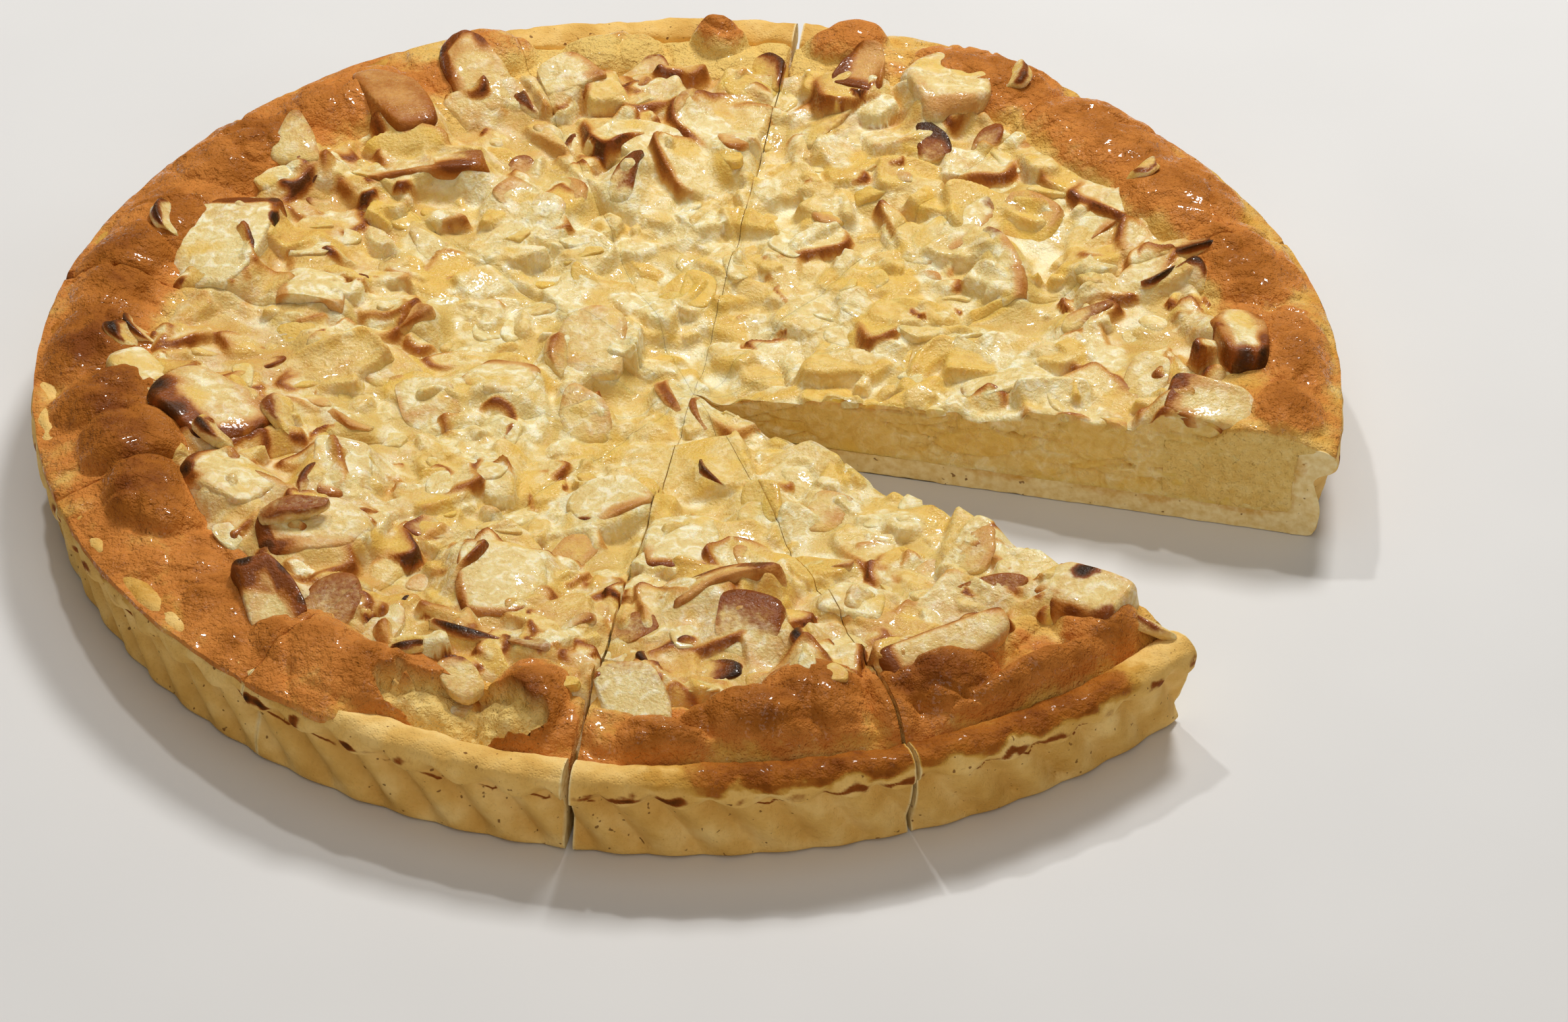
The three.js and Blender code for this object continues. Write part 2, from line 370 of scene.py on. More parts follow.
LUMPS: tuple[Lump, ...] = tuple(Lump(*row) for row in (
    (239, 122, 24, 11, 1.6, 0.05), (255, 119, 8, 13, 3.6, 0.35), (268, 126, 7, 6, 1.6, 0.2),
    (277, 121, 13, 6.5, 4.2, 0.35), (284, 115, 10, 13, 4.4, 0.4), (290.5, 119, 5, 11, 2.6, 0.2),
    (296.5, 119, 11, 8, 4.6, 0.45), (305, 126.5, 20, 3.6, 3, 0.35), (314, 122, 8, 8, 3.6, 0.3),
    (270, 127, 8, 3.5, 2.4, 0.2), (281, 127, 14, 3, 1.8, 0.3), (303, 109, 14, 8, 2.2, 0),
    (196, 119, 10, 12, 3.4, 0.35), (205, 120, 13, 10, 3.4, 0.25), (188, 124, 10, 11, 2.4, 0.3),
    (179, 128, 13, 9, 1.6, 0.25), (163, 127, 22, 9, 1.8, 0.15), (143, 125, 14, 13, 2.8, 0.15),
    (128, 126, 15, 11, 2, -0.1), (112, 127, 10, 9, 2.4, 0.2), (99, 125, 10, 9, 2.6, 0.15),
    (88, 128, 6, 8, 4.6, 0.6), (75, 129, 9, 9, 3.6, 0.25), (59, 127, 17, 13, 3.4, 0.2),
    (44, 124, 19, 14, 2.8, 0.25), (31, 124, 15, 14, 3.2, 0.25), (18, 126, 15, 11, 2.6, 0.3),
    (3, 130, 15, 7, 1.8, 0.25), (-7, 128, 8, 7, 2, 0.3),
))


@dataclass
class PieForm:
    """The main sizes of the pie and the heights worked out from them, in millimetres.

    Attributes:
        rim_radius: Outermost edge of the fold.
        top: Highest point that anything may reach.
        base_radius: Outside of the wall, on the table.
        rim_height: Mean top of the fold.
        floor: Thickness of the bottom crust.
        flutes: Pleats around the wall.
        flute_lean: How far a pleat's wave leans for each millimetre down, in radians.
        edge_height: Filling next to the batter.
        centre_height: Filling at the sunken middle.
        batter_inner: Mean radius where batter gives way to apple.
        crest: Mean top of the batter.
        noise: The unevenness of the filling.
    """

    rim_radius: float
    top: float
    base_radius: float = 136.4
    rim_height: float = 22.3
    floor: float = 5
    flutes: int = 76
    flute_lean: float = 0.35
    edge_height: float = 24.2
    centre_height: float = 12.6
    batter_inner: float = 103
    crest: float = 25.6
    noise: Noise = seeded(5)

    @classmethod
    def from_frame(cls) -> PieForm:
        """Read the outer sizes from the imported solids."""
        low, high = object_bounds()
        return cls(rim_radius=(high[0] - low[0]) / 2 / MM, top=high[2] / MM)

    def hold(self, height: Array) -> Array:
        """Keep the heights of apple above the bottom crust and inside the pie's box."""
        return np.clip(height, self.floor + 0.2, self.top - 0.05)

    def dish(self, x: Array, y: Array) -> Array:
        """Mean height of the filling, lowest in the middle."""
        share = np.minimum(np.hypot(x, y) / 110, 1.06)
        return lerp(self.centre_height, self.edge_height, share**0.9)

    def custard(self, x: Array, y: Array) -> Array:
        """Height of the custard where no apple stands out of it."""
        broad = 1.3 * self.noise.layered(x, y, 3, 17, 2)
        return self.dish(x, y) - 0.9 + broad + 0.35 * self.noise.at(x, y, 9, 4)

    def cover(self, heading: Array) -> Array:
        """1 where the batter has run over the fold, 0 where the fold is bare."""
        front = smoothstep(36, 42, away(heading, 281))
        back = smoothstep(12, 22, away(heading, 92))
        return np.minimum(front, back)

    def inner(self, heading: Array) -> Array:
        """Radius of the batter's inner edge."""
        wave = 4 * np.sin(5 * heading + 1) + 3 * np.sin(11 * heading)
        return self.batter_inner + wave + 2 * np.sin(23 * heading)

    def rim_wave(self, heading: Array) -> Array:
        """Rise and fall of the fold around the pie, none on the axes."""
        return 0.6 * np.sin(2 * heading) * np.sin(5 * heading + 0.8)

    def rim_top(self, radius: Array, heading: Array) -> Array:
        """Height of the fold's top."""
        past = radius - self.base_radius
        fall = np.where(past > 0, 0.16 * past**2, 0.035 * past**2)
        return self.rim_height - fall + self.rim_wave(heading)


# --- mesh making


def box_grid(cells: Cells, open_bottom: bool = False) -> Mesh:
    """A unit box whose faces are cut into a regular grid.

    Args:
        cells: How many cells it has along each axis.
        open_bottom: Whether the underside is one face instead of a grid.

    Returns:
        The mesh, with its corners at -0.5 and 0.5.
    """
    bm = bmesh.new()
    bmesh.ops.create_cube(bm, size=1)
    for axis, count in enumerate(cells):
        if count > 1:
            edges = [e for e in bm.edges if abs(e.verts[0].co[axis] - e.verts[1].co[axis]) > 0.9]
            bmesh.ops.subdivide_edges(bm, edges=edges, cuts=count - 1, use_grid_fill=True)
    if open_bottom:
        inside = [v for v in bm.verts if v.co.z < -0.49 and max(abs(v.co.x), abs(v.co.y)) < 0.4999]
        bmesh.ops.delete(bm, geom=inside, context="VERTS")
        bmesh.ops.contextual_create(bm, geom=[e for e in bm.edges if e.is_boundary])
    mesh = bpy.data.meshes.new("grid")
    bm.to_mesh(mesh)
    bm.free()
    return mesh


def coordinates(mesh: Mesh) -> Array:
    """The corners of a mesh, as rows of three."""
    flat = np.empty(len(mesh.vertices) * 3)
    mesh.vertices.foreach_get("co", flat)
    return flat.reshape(-1, 3)


def set_attributes(mesh: Mesh, attributes: Values) -> None:
    """Write one number for each corner of a mesh under each name."""
    for name, values in attributes.items():
        layer = mesh.attributes.get(name) or mesh.attributes.new(name, "FLOAT", "POINT")
        layer.data.foreach_set("value", np.ascontiguousarray(values, dtype=np.float32))


def show(name: str, data: bpy.types.ID) -> Piece:
    """Put a new object that shows some data into the scene."""
    shown = bpy.data.objects.new(name, data)
    bpy.context.scene.collection.objects.link(shown)
    return shown


def publish(mesh: Mesh, name: str, material: bpy.types.Material,
            nodes: Sequence[str] = (), sharp: float = 70) -> Piece:
    """Make a finished piece of the pie from a mesh.

    Args:
        mesh: Its mesh, in metres.
        name: Its name.
        material: Its finish.
        nodes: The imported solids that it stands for.
        sharp: Angle past which an edge is shaded sharp, in degrees.

    Returns:
        The piece.
    """
    mesh.name = name
    mesh.materials.clear()
    mesh.materials.append(material)
    mesh.polygons.foreach_set("use_smooth", np.ones(len(mesh.polygons), dtype=bool))
    mesh.set_sharp_from_angle(angle=math.radians(sharp))
    mesh.update()
    piece = show(name, mesh)
    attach(piece, ROOT)
    if nodes:
        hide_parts(*nodes)
    LOG.info("%s: %d faces", name, len(mesh.polygons))
    return piece


@dataclass
class Shell:
    """A mesh bent from a box grid, with its place on the box kept.

    Attributes:
        mesh: The mesh, whose corners are still to be moved.
        across: From 0 at the box's inner end to 1 at its outer end.
        around: From 0 on the first cut face to 1 on the second.
        up: From 0 underneath to 1 on top.

    A corner is on a cut face when it is nearer to it than EDGE, as a share of the box.
    """

    mesh: Mesh
    across: Array
    around: Array
    up: Array

    EDGE = 0.0005

    @classmethod
    def from_grid(cls, grid: Mesh) -> Shell:
        """Copy a box grid and keep its shares."""
        mesh = grid.copy()
        share = coordinates(mesh) + 0.5
        return cls(mesh, share[:, 0], share[:, 1], share[:, 2])

    def face(self, second: bool) -> Array:
        """True for the corners on one cut face."""
        return self.around > 1 - self.EDGE if second else self.around < self.EDGE

    def cut_mask(self) -> Array:
        """1 on both cut faces, 0 elsewhere."""
        return (self.face(False) | self.face(True)).astype(float)

    def bend(self, x: Array, y: Array, z: Array) -> None:
        """Move the corners to their places, given in millimetres."""
        points = np.stack([x, y, z], axis=-1) * MM
        self.mesh.vertices.foreach_set("co", points.ravel())
        self.mesh.update()

    def sink(self, sector: Sector, exposed: tuple[bool, bool], x: Array, y: Array,
             depth: Array) -> tuple[Array, Array]:
        """Sink the cut faces that show by an uneven depth.

        Args:
            sector: The slice's plan.
            exposed: Whether each cut face shows.
            x: The corners' first coordinates, in millimetres.
            y: Their second coordinates.
            depth: How far each corner would sink, in millimetres.

        Returns:
            The new x and y coordinates.
        """
        for second, shown in enumerate(exposed):
            if shown:
                inward = sector.inward(bool(second))
                sunk = np.where(self.face(bool(second)), np.maximum(depth, 0), 0)
                x, y = x + inward.x * sunk, y + inward.y * sunk
        return x, y


# --- finishes


class Nodes:
    """A node tree, with short calls for the nodes that the finishes use.

    Attributes:
        tree: The tree that nodes go into.
        place: The point that its patterns are laid out by, in metres.
    """

    place: Socket

    def __init__(self, tree: bpy.types.NodeTree) -> None:
        """Keep the tree."""
        self.tree = tree

    def add(self, kind: str, **settings: object) -> bpy.types.Node:
        """Add a node and set its properties."""
        node = self.tree.nodes.new(kind)
        for name, value in settings.items():
            setattr(node, name, value)
        return node

    def feed(self, socket: Socket, value: object) -> None:
        """Link a socket to an output, or set its value."""
        if isinstance(value, Socket):
            self.tree.links.new(value, socket)
        elif isinstance(value, tuple) and len(value) == 3 and socket.type == "RGBA":
            socket.default_value = (*value, 1)
        else:
            socket.default_value = value

    def attribute(self, name: str) -> Socket:
        """A number stored on the mesh."""
        return self.add("ShaderNodeAttribute", attribute_name=name).outputs["Fac"]

    def noise(self, size: float, detail: float = 3, distortion: float = 0) -> Socket:
        """Noise from 0 to 1 whose bumps are about size millimetres wide."""
        node = self.add("ShaderNodeTexNoise")
        self.feed(node.inputs["Vector"], self.place)
        node.inputs["Scale"].default_value = 1 / (size * MM)
        node.inputs["Detail"].default_value = detail
        node.inputs["Distortion"].default_value = distortion
        return node.outputs["Fac"]

    def cells(self, size: float) -> Socket:
        """Distance to the nearest of scattered points about size millimetres apart."""
        node = self.add("ShaderNodeTexVoronoi", feature="F1")
        self.feed(node.inputs["Vector"], self.place)
        node.inputs["Scale"].default_value = 1 / (size * MM)
        return node.outputs["Distance"]

    def math(self, operation: str, first: object, second: object = 0,
             third: object = 0) -> Socket:
        """One step of arithmetic."""
        node = self.add("ShaderNodeMath", operation=operation)
        for socket, value in zip(node.inputs, (first, second, third)):
            self.feed(socket, value)
        return node.outputs[0]

    def ease(self, value: object, low: float, high: float, start: float = 0,
             end: float = 1) -> Socket:
        """Ease from start to end as a value goes from low to high."""
        node = self.add("ShaderNodeMapRange", interpolation_type="SMOOTHSTEP")
        for name, given in (("Value", value), ("From Min", low), ("From Max", high),
                            ("To Min", start), ("To Max", end)):
            self.feed(node.inputs[name], given)
        return node.outputs["Result"]

    def mix(self, share: object, first: object, second: object, kind: str = "RGBA") -> Socket:
        """Mix two colours, or two numbers of kind FLOAT, by a share of the second."""
        node = self.add("ShaderNodeMix", data_type=kind)
        sockets = [socket for socket in node.inputs if socket.enabled]
        for socket, value in zip(sockets, (share, first, second)):
            self.feed(socket, value)
        return next(socket for socket in node.outputs if socket.enabled)

    def ramp(self, value: object, stops: Sequence[tuple[float, Rgb]]) -> Socket:
        """A colour for each value, through the given stops."""
        node = self.add("ShaderNodeValToRGB")
        self.feed(node.inputs["Fac"], value)
        elements = node.color_ramp.elements
        while len(elements) < len(stops):
            elements.new(0.5)
        for element, (position, colour) in zip(elements, stops):
            element.position = position
            element.color = (*colour, 1)
        return node.outputs["Color"]

    def bump(self, height: object, distance: float, strength: float = 1,
             below: Socket | None = None) -> Socket:
        """A bumped normal; distance is the relief in millimetres."""
        node = self.add("ShaderNodeBump")
        self.feed(node.inputs["Height"], height)
        node.inputs["Distance"].default_value = distance * MM
        node.inputs["Strength"].default_value = strength
        if below is not None:
            self.feed(node.inputs["Normal"], below)
        return node.outputs["Normal"]

    def use(self, group: bpy.types.NodeTree, **values: object) -> bpy.types.Node:
        """Place a shared effect with its own values."""
        node = self.add("ShaderNodeGroup", node_tree=group)
        self.feed(node.inputs["Vector"], self.place)
        for name, value in values.items():
            self.feed(node.inputs[name], value)
        return node


class Effect(Nodes):
    """An effect that more than one finish uses: a shader node group."""

    def __init__(self, name: str, inputs: dict[str, object], outputs: Sequence[str]) -> None:
        """Open the group.

        Args:
            name: Its name.
            inputs: First value of each colour or number that goes in beside the place.
            outputs: What comes out: Color is a colour, the others are numbers.
        """
        super().__init__(bpy.data.node_groups.new(name, "ShaderNodeTree"))
        new_socket = self.tree.interface.new_socket
        new_socket(name="Vector", in_out="INPUT", socket_type="NodeSocketVector")
        for socket, value in inputs.items():
            kind = "Color" if isinstance(value, tuple) else "Float"
            made = new_socket(name=socket, in_out="INPUT", socket_type=f"NodeSocket{kind}")
            made.default_value = (*value, 1) if kind == "Color" else value
        for socket in outputs:
            kind = "Color" if socket == "Color" else "Float"
            new_socket(name=socket, in_out="OUTPUT", socket_type=f"NodeSocket{kind}")
        self.given = self.add("NodeGroupInput").outputs
        self.place = self.given["Vector"]
        self.made = self.add("NodeGroupOutput").inputs

    def give(self, **values: object) -> bpy.types.NodeTree:
        """Feed what comes out, and return the finished group."""
        for name, value in values.items():
            self.feed(self.made[name], value)
        return self.tree


class Effects:
    """Every shared effect, built once."""

    def __init__(self) -> None:
        """Build the groups."""
        self.browning = self._browning()
        self.glaze = self._glaze()
        self.pores = self._pores()
        self.flesh = self._flesh()

    @staticmethod
    def _browning() -> bpy.types.NodeTree:
        """Colours a base from pale through gold and brown to black, as heat would."""
        nodes = Effect("browning", {"Base": (0.8, 0.6, 0.3), "Bake": 0, "Burn": 0,
                                    "Gold": (0.62, 0.33, 0.06)}, ("Color", "Brown"))
        uneven = nodes.math("MULTIPLY_ADD", nodes.noise(5, 4), 0.5, -0.25)
        grainy = nodes.math("MULTIPLY_ADD", nodes.noise(1, 3), 0.26, -0.13)
        level = nodes.math("ADD", nodes.math("ADD", nodes.given["Bake"], uneven), grainy)
        scorch = nodes.math("ADD", nodes.given["Burn"], grainy)
        tone = nodes.given["Base"]
        for heat, low, high, colour in (
            (level, 0.06, 0.42, nodes.given["Gold"]),
            (level, 0.36, 0.8, (0.39, 0.125, 0.014)),
            (level, 0.75, 1.15, (0.20, 0.050, 0.004)),
            (scorch, 0.10, 0.45, (0.27, 0.070, 0.009)),
            (scorch, 0.38, 0.70, (0.115, 0.032, 0.003)),
            (scorch, 0.66, 1, (0.034, 0.013, 0.003)),
        ):
            tone = nodes.mix(nodes.ease(heat, low, high), tone, colour)
        return nodes.give(Color=tone, Brown=nodes.ease(level, 0.2, 0.9))

    @staticmethod
    def _glaze() -> bpy.types.NodeTree:
        """The uneven wet film of syrup: its gloss and its tiny ripples."""
        nodes = Effect("glaze", {"Dry": 0.5, "Wet": 0.2}, ("Roughness", "Height", "Film"))
        film = nodes.ease(nodes.noise(6, 3), 0.40, 0.58)
        sparks = nodes.ease(nodes.noise(0.65, 1), 0.50, 0.58, 0.25, 1)
        wet = nodes.math("MULTIPLY", film, sparks)
        ripples = nodes.noise(0.6, 1, 0.4)
        beads = nodes.math("MULTIPLY", nodes.ease(nodes.cells(1.2), 0.4, 0),
                           nodes.ease(nodes.noise(3, 1), 0.55, 0.65))
        return nodes.give(Roughness=nodes.mix(wet, nodes.given["Dry"], nodes.given["Wet"], "FLOAT"),
                          Height=nodes.math("MULTIPLY_ADD", beads, 0.6, ripples),
                          Film=nodes.ease(wet, 0.4, 0.8))

    @staticmethod
    def _pores() -> bpy.types.NodeTree:
        """Fine and coarse bubbles of baked dough; Pit marks the middles of the coarse ones, which the
        batter darkens as painted shade.
        """
        nodes = Effect("pores", {"Coarse": 0.5}, ("Height", "Pit"))
        fine = nodes.ease(nodes.cells(0.55), 0.1, 0.55)
        coarse = nodes.ease(nodes.cells(1.7), 0.08, 0.5)
        return nodes.give(Height=nodes.mix(nodes.given["Coarse"], fine, coarse, "FLOAT"),
                          Pit=nodes.math("SUBTRACT", 1, coarse))

    @staticmethod
    def _flesh() -> bpy.types.NodeTree:
        """Cooked apple from cream to amber, with its fine grain."""
        nodes = Effect("flesh", {"Tone": 0.2}, ("Color", "Height"))
        fibres = nodes.noise(2.4, 3, 0.8)
        pale = nodes.ramp(fibres, [
            (0.3, (0.73, 0.53, 0.195)), (0.5, (0.83, 0.68, 0.325)), (0.66, (0.95, 0.88, 0.62))])
        amber = nodes.ramp(fibres, [
            (0.3, (0.70, 0.42, 0.08)), (0.5, (0.77, 0.50, 0.11)), (0.75, (0.82, 0.57, 0.16))])
        stain = nodes.ease(nodes.noise(11, 2), 0.54, 0.66, 0, 0.7)
        toned = nodes.mix(nodes.given["Tone"], pale, amber)
        return nodes.give(Color=nodes.mix(stain, toned, (0.79, 0.50, 0.085)), Height=fibres)


@dataclass(frozen=True)
class Body:
    """How light behaves in a food: the sockets of its shader that are the same all over.

    Attributes:
        subsurface: Share of light that goes through the surface.
        depth: How far it goes, in millimetres.
        coat_roughness: Roughness of the syrup film.
        specular: Strength of the plain reflection.
    """

    subsurface: float
    depth: float
    coat_roughness: float
    specular: float = 0.5


class Finish(Nodes):
    """A material built from the shared effects."""

    body = Body(0.1, 2, 0.1)

    def __init__(self, name: str, effects: Effects) -> None:
        """Make the material from the shared node groups."""
        self.effects = effects
        self.material = bpy.data.materials.new(name)
        self.material.use_nodes = True
        super().__init__(self.material.node_tree)
        self.tree.nodes.clear()
        self.place = self.add("ShaderNodeTexCoord").outputs["Object"]
        self.shader = self.add("ShaderNodeBsdfPrincipled")
        output = self.add("ShaderNodeOutputMaterial")
        self.feed(output.inputs["Surface"], self.shader.outputs["BSDF"])
        inputs = self.shader.inputs
        inputs["Subsurface Weight"].default_value = self.body.subsurface
        inputs["Subsurface Radius"].default_value = (1, 0.62, 0.25)
        inputs["Subsurface Scale"].default_value = self.body.depth * MM
        inputs["Coat Roughness"].default_value = self.body.coat_roughness
        inputs["Specular IOR Level"].default_value = self.body.specular
        self.dress()

    def set(self, name: str, value: object) -> None:
        """Feed one socket of the shader."""
        self.feed(self.shader.inputs[name], value)

    def brown(self, base: Socket, **values: object) -> tuple[Socket, Socket]:
        """Brown a base colour as the mesh says.

        Args:
            base: The colour of what isn't browned.
            values: Other inputs of the effect, or ones that the mesh doesn't hold.

        Returns:
            The colour, and how brown it is.
        """
        for name in ("Bake", "Burn"):
            if name not in values:
                values[name] = self.attribute(name.lower())
        browned = self.use(self.effects.browning, Base=base, **values)
        return browned.outputs["Color"], browned.outputs["Brown"]

    def wet(self, film: float | Socket, below: Socket, relief: float, strength: float, dry: float,
            gloss: float) -> None:
        """Lay syrup over the whole.

        Args:
            film: How much of a film there is where it is wet.
            below: The normal under it.
            relief: Height of its ripples, in millimetres.
            strength: How strongly they show.
            dry: Roughness where there is no syrup.
            gloss: Roughness where there is.
        """
        glaze = self.use(self.effects.glaze, Dry=dry, Wet=gloss)
        self.set("Roughness", glaze.outputs["Roughness"])
        self.set("Coat Weight", self.math("MULTIPLY", glaze.outputs["Film"], film))
        self.set("Normal", self.bump(glaze.outputs["Height"], relief, strength, below))

    def dress(self) -> None:
        """Build the pattern; each finish has its own."""
        raise NotImplementedError


class ShortCrust(Finish):
    """Lightly baked, fine and matt, browned and burnt on the fold, porous where it is cut."""

    body = Body(0.06, 2, 0.10, 0.05)

    def dress(self) -> None:
        """Pale dough with mottling, specks and pores."""
        mottled = self.ramp(self.noise(9, 4), [
            (0.3, (0.66, 0.37, 0.085)), (0.5, (0.78, 0.485, 0.138)), (0.7, (0.91, 0.64, 0.245))])
        crumb = self.ramp(self.noise(1.6, 4), [
            (0.3, (0.76, 0.56, 0.23)), (0.6, (0.88, 0.72, 0.39)), (0.8, (0.93, 0.80, 0.50))])
        cut = self.attribute("cut")
        base = self.mix(cut, mottled, crumb)
        specks = self.ease(self.noise(1.5, 1), 0.71, 0.76)
        base = self.mix(self.math("MULTIPLY", specks, 0.8), base, (0.16, 0.05, 0.012))
        colour, brown = self.brown(base)
        self.set("Base Color", colour)
        self.set("Roughness", self.ease(brown, 0, 1, 0.66, 0.5))
        glaze = self.use(self.effects.glaze)
        weight = self.ease(brown, 0.3, 1, 0, 0.2)
        self.set("Coat Weight", self.math("MULTIPLY", glaze.outputs["Film"], weight))
        pores = self.use(self.effects.pores, Coarse=cut)
        soft = self.bump(self.noise(2.6, 4), 0.35)
        fine = self.bump(pores.outputs["Height"], 0.14, 0.6, soft)
        rough = self.math("MULTIPLY", self.noise(0.9, 3), brown)
        self.set("Normal", self.bump(rough, 0.7, 0.8, fine))


class BakedBatter(Finish):
    """Golden to deep brown, finely blistered, with a shining film."""

    body = Body(0.08, 2, 0.08, 0.10)

    def dress(self) -> None:
        """Amber going to gold and brown, and pale crumb where it is cut or torn, with painted shade in the
        crumb's pits.
        """
        gold = self.ramp(self.noise(6, 4), [
            (0.3, (0.66, 0.33, 0.05)), (0.6, (0.77, 0.47, 0.12)), (0.8, (0.84, 0.58, 0.20))])
        thin = self.attribute("thin")
        colour, _ = self.brown(self.mix(thin, gold, (0.80, 0.56, 0.17)), Gold=(0.62, 0.225, 0.042))
        crumb = self.ramp(self.noise(2.2, 4), [
            (0.3, (0.74, 0.48, 0.13)), (0.55, (0.81, 0.57, 0.19)), (0.8, (0.87, 0.67, 0.29))])
        pores = self.use(self.effects.pores, Coarse=0.6)
        # Painted shade: the crumb's pits are coloured darker, as if shaded inside, and less so towards the
        # thin inner edge.
        painted_pit_shade = self.math("MULTIPLY", self.ease(pores.outputs["Pit"], 0.7, 1, 0, 0.4),
                         self.math("SUBTRACT", 1, thin))
        open_face = self.attribute("cut")
        self.set("Base Color", self.mix(open_face, colour, self.mix(painted_pit_shade, crumb, (0.52, 0.29, 0.05))))
        soft = self.bump(self.noise(2, 4), 0.85)
        fine = self.bump(pores.outputs["Height"], 0.34, 0.8, soft)
        self.wet(self.math("MULTIPLY_ADD", open_face, -0.6, 0.6), fine, 0.30, 0.8, 0.70, 0.2)


class WetFilling(Finish):
    """Custard and the apple sunk in it: pale yellow to amber, moist and translucent."""

    body = Body(0.28, 2.6, 0.05, 0.22)

    def dress(self) -> None:
        """Yellow custard or apple, browner towards the rim and on standing edges, and darker in its
        hollows as painted shade.
        """
        custard = self.ramp(self.noise(8, 4), [
            (0.3, (0.62, 0.375, 0.08)), (0.5, (0.74, 0.53, 0.165)), (0.64, (0.93, 0.84, 0.54))])
        flesh = self.use(self.effects.flesh, Tone=self.attribute("tone"))
        base = self.mix(self.attribute("flesh"), custard, flesh.outputs["Color"])
        bake = self.attribute("bake")
        colour, _ = self.brown(base, Bake=bake, Burn=self.ease(bake, 0.7, 1.4, 0, 0.72),
                               Gold=(0.64, 0.33, 0.075))
        self.set("Base Color", colour)
        self.wet(0.65, self.bump(flesh.outputs["Height"], 0.3), 0.26, 0.9, 0.5, 0.18)


class AppleFlesh(Finish):
    """Cream to amber cooked apple, browned and burnt along its standing edges, glazed."""

    body = Body(0.26, 2.4, 0.05, 0.16)

    def dress(self) -> None:
        """Each piece has its own tone; edges brown first."""
        flesh = self.use(self.effects.flesh, Tone=self.attribute("tone"))
        colour, brown = self.brown(flesh.outputs["Color"], Gold=(0.64, 0.33, 0.095))
        self.set("Base Color", colour)
        self.wet(self.ease(brown, 0.2, 1, 0.6, 0.35), self.bump(flesh.outputs["Height"], 0.26),
                 0.24, 0.9, 0.52, 0.2)


class TableTop(Finish):
    """The plain white surface that the pie stands on."""

    body = Body(0, 1, 0.3, 0.2)

    def dress(self) -> None:
        """One pale tone with a trace of grain."""
        tint = self.ramp(self.noise(60, 2), [(0.3, (0.70, 0.695, 0.69)), (0.7, (0.72, 0.715, 0.71))])
        self.set("Base Color", tint)
        self.set("Roughness", 0.75)


# --- baking


@dataclass
class Oven:
    """How brown and how burnt the pie is; its batter stayed pale around the heading PALE, in degrees."""

    noise: Noise = seeded(11)

    PALE = 95

    def filling(self, x: Array, y: Array) -> Array:
        """Browning of the filling: none in the middle, gold near the rim."""
        heading = np.arctan2(y, x)
        front = 15 * np.cos(heading - math.radians(215))
        patchy = 12 * self.noise.layered(x, y, 0, 18, 2)
        return 0.40 * smoothstep(50, 118, np.hypot(x, y) + front + patchy)

    def filling_at(self, x: float, y: float) -> float:
        """Browning of the filling at one point."""
        return float(self.filling(np.array(x), np.array(y)))

    def batter(self, x: Array, y: Array, z: Array) -> Array:
        """Browning of the risen batter, most on its lumps."""
        heading = np.arctan2(y, x)
        level = 0.40 * smoothstep(104, 124, np.hypot(x, y) + 4 * self.noise.at(x, y, 9, 12))
        level = level + 0.36 * self.noise.layered(x, y, z, 12, 4) + 0.05 * np.clip(z - 25, -2, 3)
        level = level + 0.13 * np.cos(heading - math.radians(195))
        for lump in LUMPS:
            level = level + lump.bake * lump.at(x, y)
        return level - 0.42 * smoothstep(34, 12, away(heading, self.PALE))

    def fold(self, x: Array, y: Array) -> Array:
        """Browning of the folded rim: patches, with pale stretches."""
        heading = np.arctan2(y, x)
        level = 0.44 + 0.8 * self.noise.layered(x, y, 0, 15, 2)
        ragged = 3 * self.noise.layered(x, y, 25, 6, 3)
        for centre, half in ((251, 9), (263.5, 3), (317, 5), (93, 16)):
            level = level - 1.1 * smoothstep(half + 3, half - 2, away(heading, centre) + ragged)
        for centre, half in ((278, 11), (300, 9)):
            level = level + 0.5 * smoothstep(half + 4, half - 3, away(heading, centre) + ragged)
        return np.clip(level, 0, 0.95)


@dataclass
class PiePart:
    """What every part of the pie is made with.

    Attributes:
        form: The pie's sizes.
        knife: The cuts.
        oven: The browning.
    """

    form: PieForm
    knife: Knife
    oven: Oven

    SLOT: ClassVar[Slot]
    PREFIX: ClassVar[str]

    def node(self, number: int) -> str:
        """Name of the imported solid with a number, counted from 0."""
        return f"{self.SLOT.value}_{number + 1:02d}"

    def publish(self, mesh: Mesh, number: int, finish: Finish) -> Piece:
        """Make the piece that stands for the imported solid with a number, counted from 0."""
        node = self.node(number)
        return publish(mesh, f"{self.PREFIX}_{node}", finish.material, [node])

    def build(self, number: int, grid: Mesh, finish: Finish) -> Piece:
        """Build one slice's share of the part; each part has its own.

        Args:
            number: Which slice, from 0.
            grid: The box grid to bend.
            finish: Its finish.

        Returns:
            The piece.
        """
        raise NotImplementedError

    def build_all(self, finish: Finish, plain: Cells, fine: Cells, open_bottom: bool = False) -> None:
        """Build every slice that is left, from a finer grid where its cut face shows.

        Args:
            finish: The part's finish.
            plain: Cells of the usual grid.
            fine: Cells of the finer grid.
            open_bottom: Whether the grids' undersides are one face.
        """
        grids = box_grid(plain, open_bottom), box_grid(fine, open_bottom)
        for number in range(self.knife.left):
            self.build(number, grids[any(self.knife.exposed(number))], finish)
        for grid in grids:
            bpy.data.meshes.remove(grid)


# --- crust


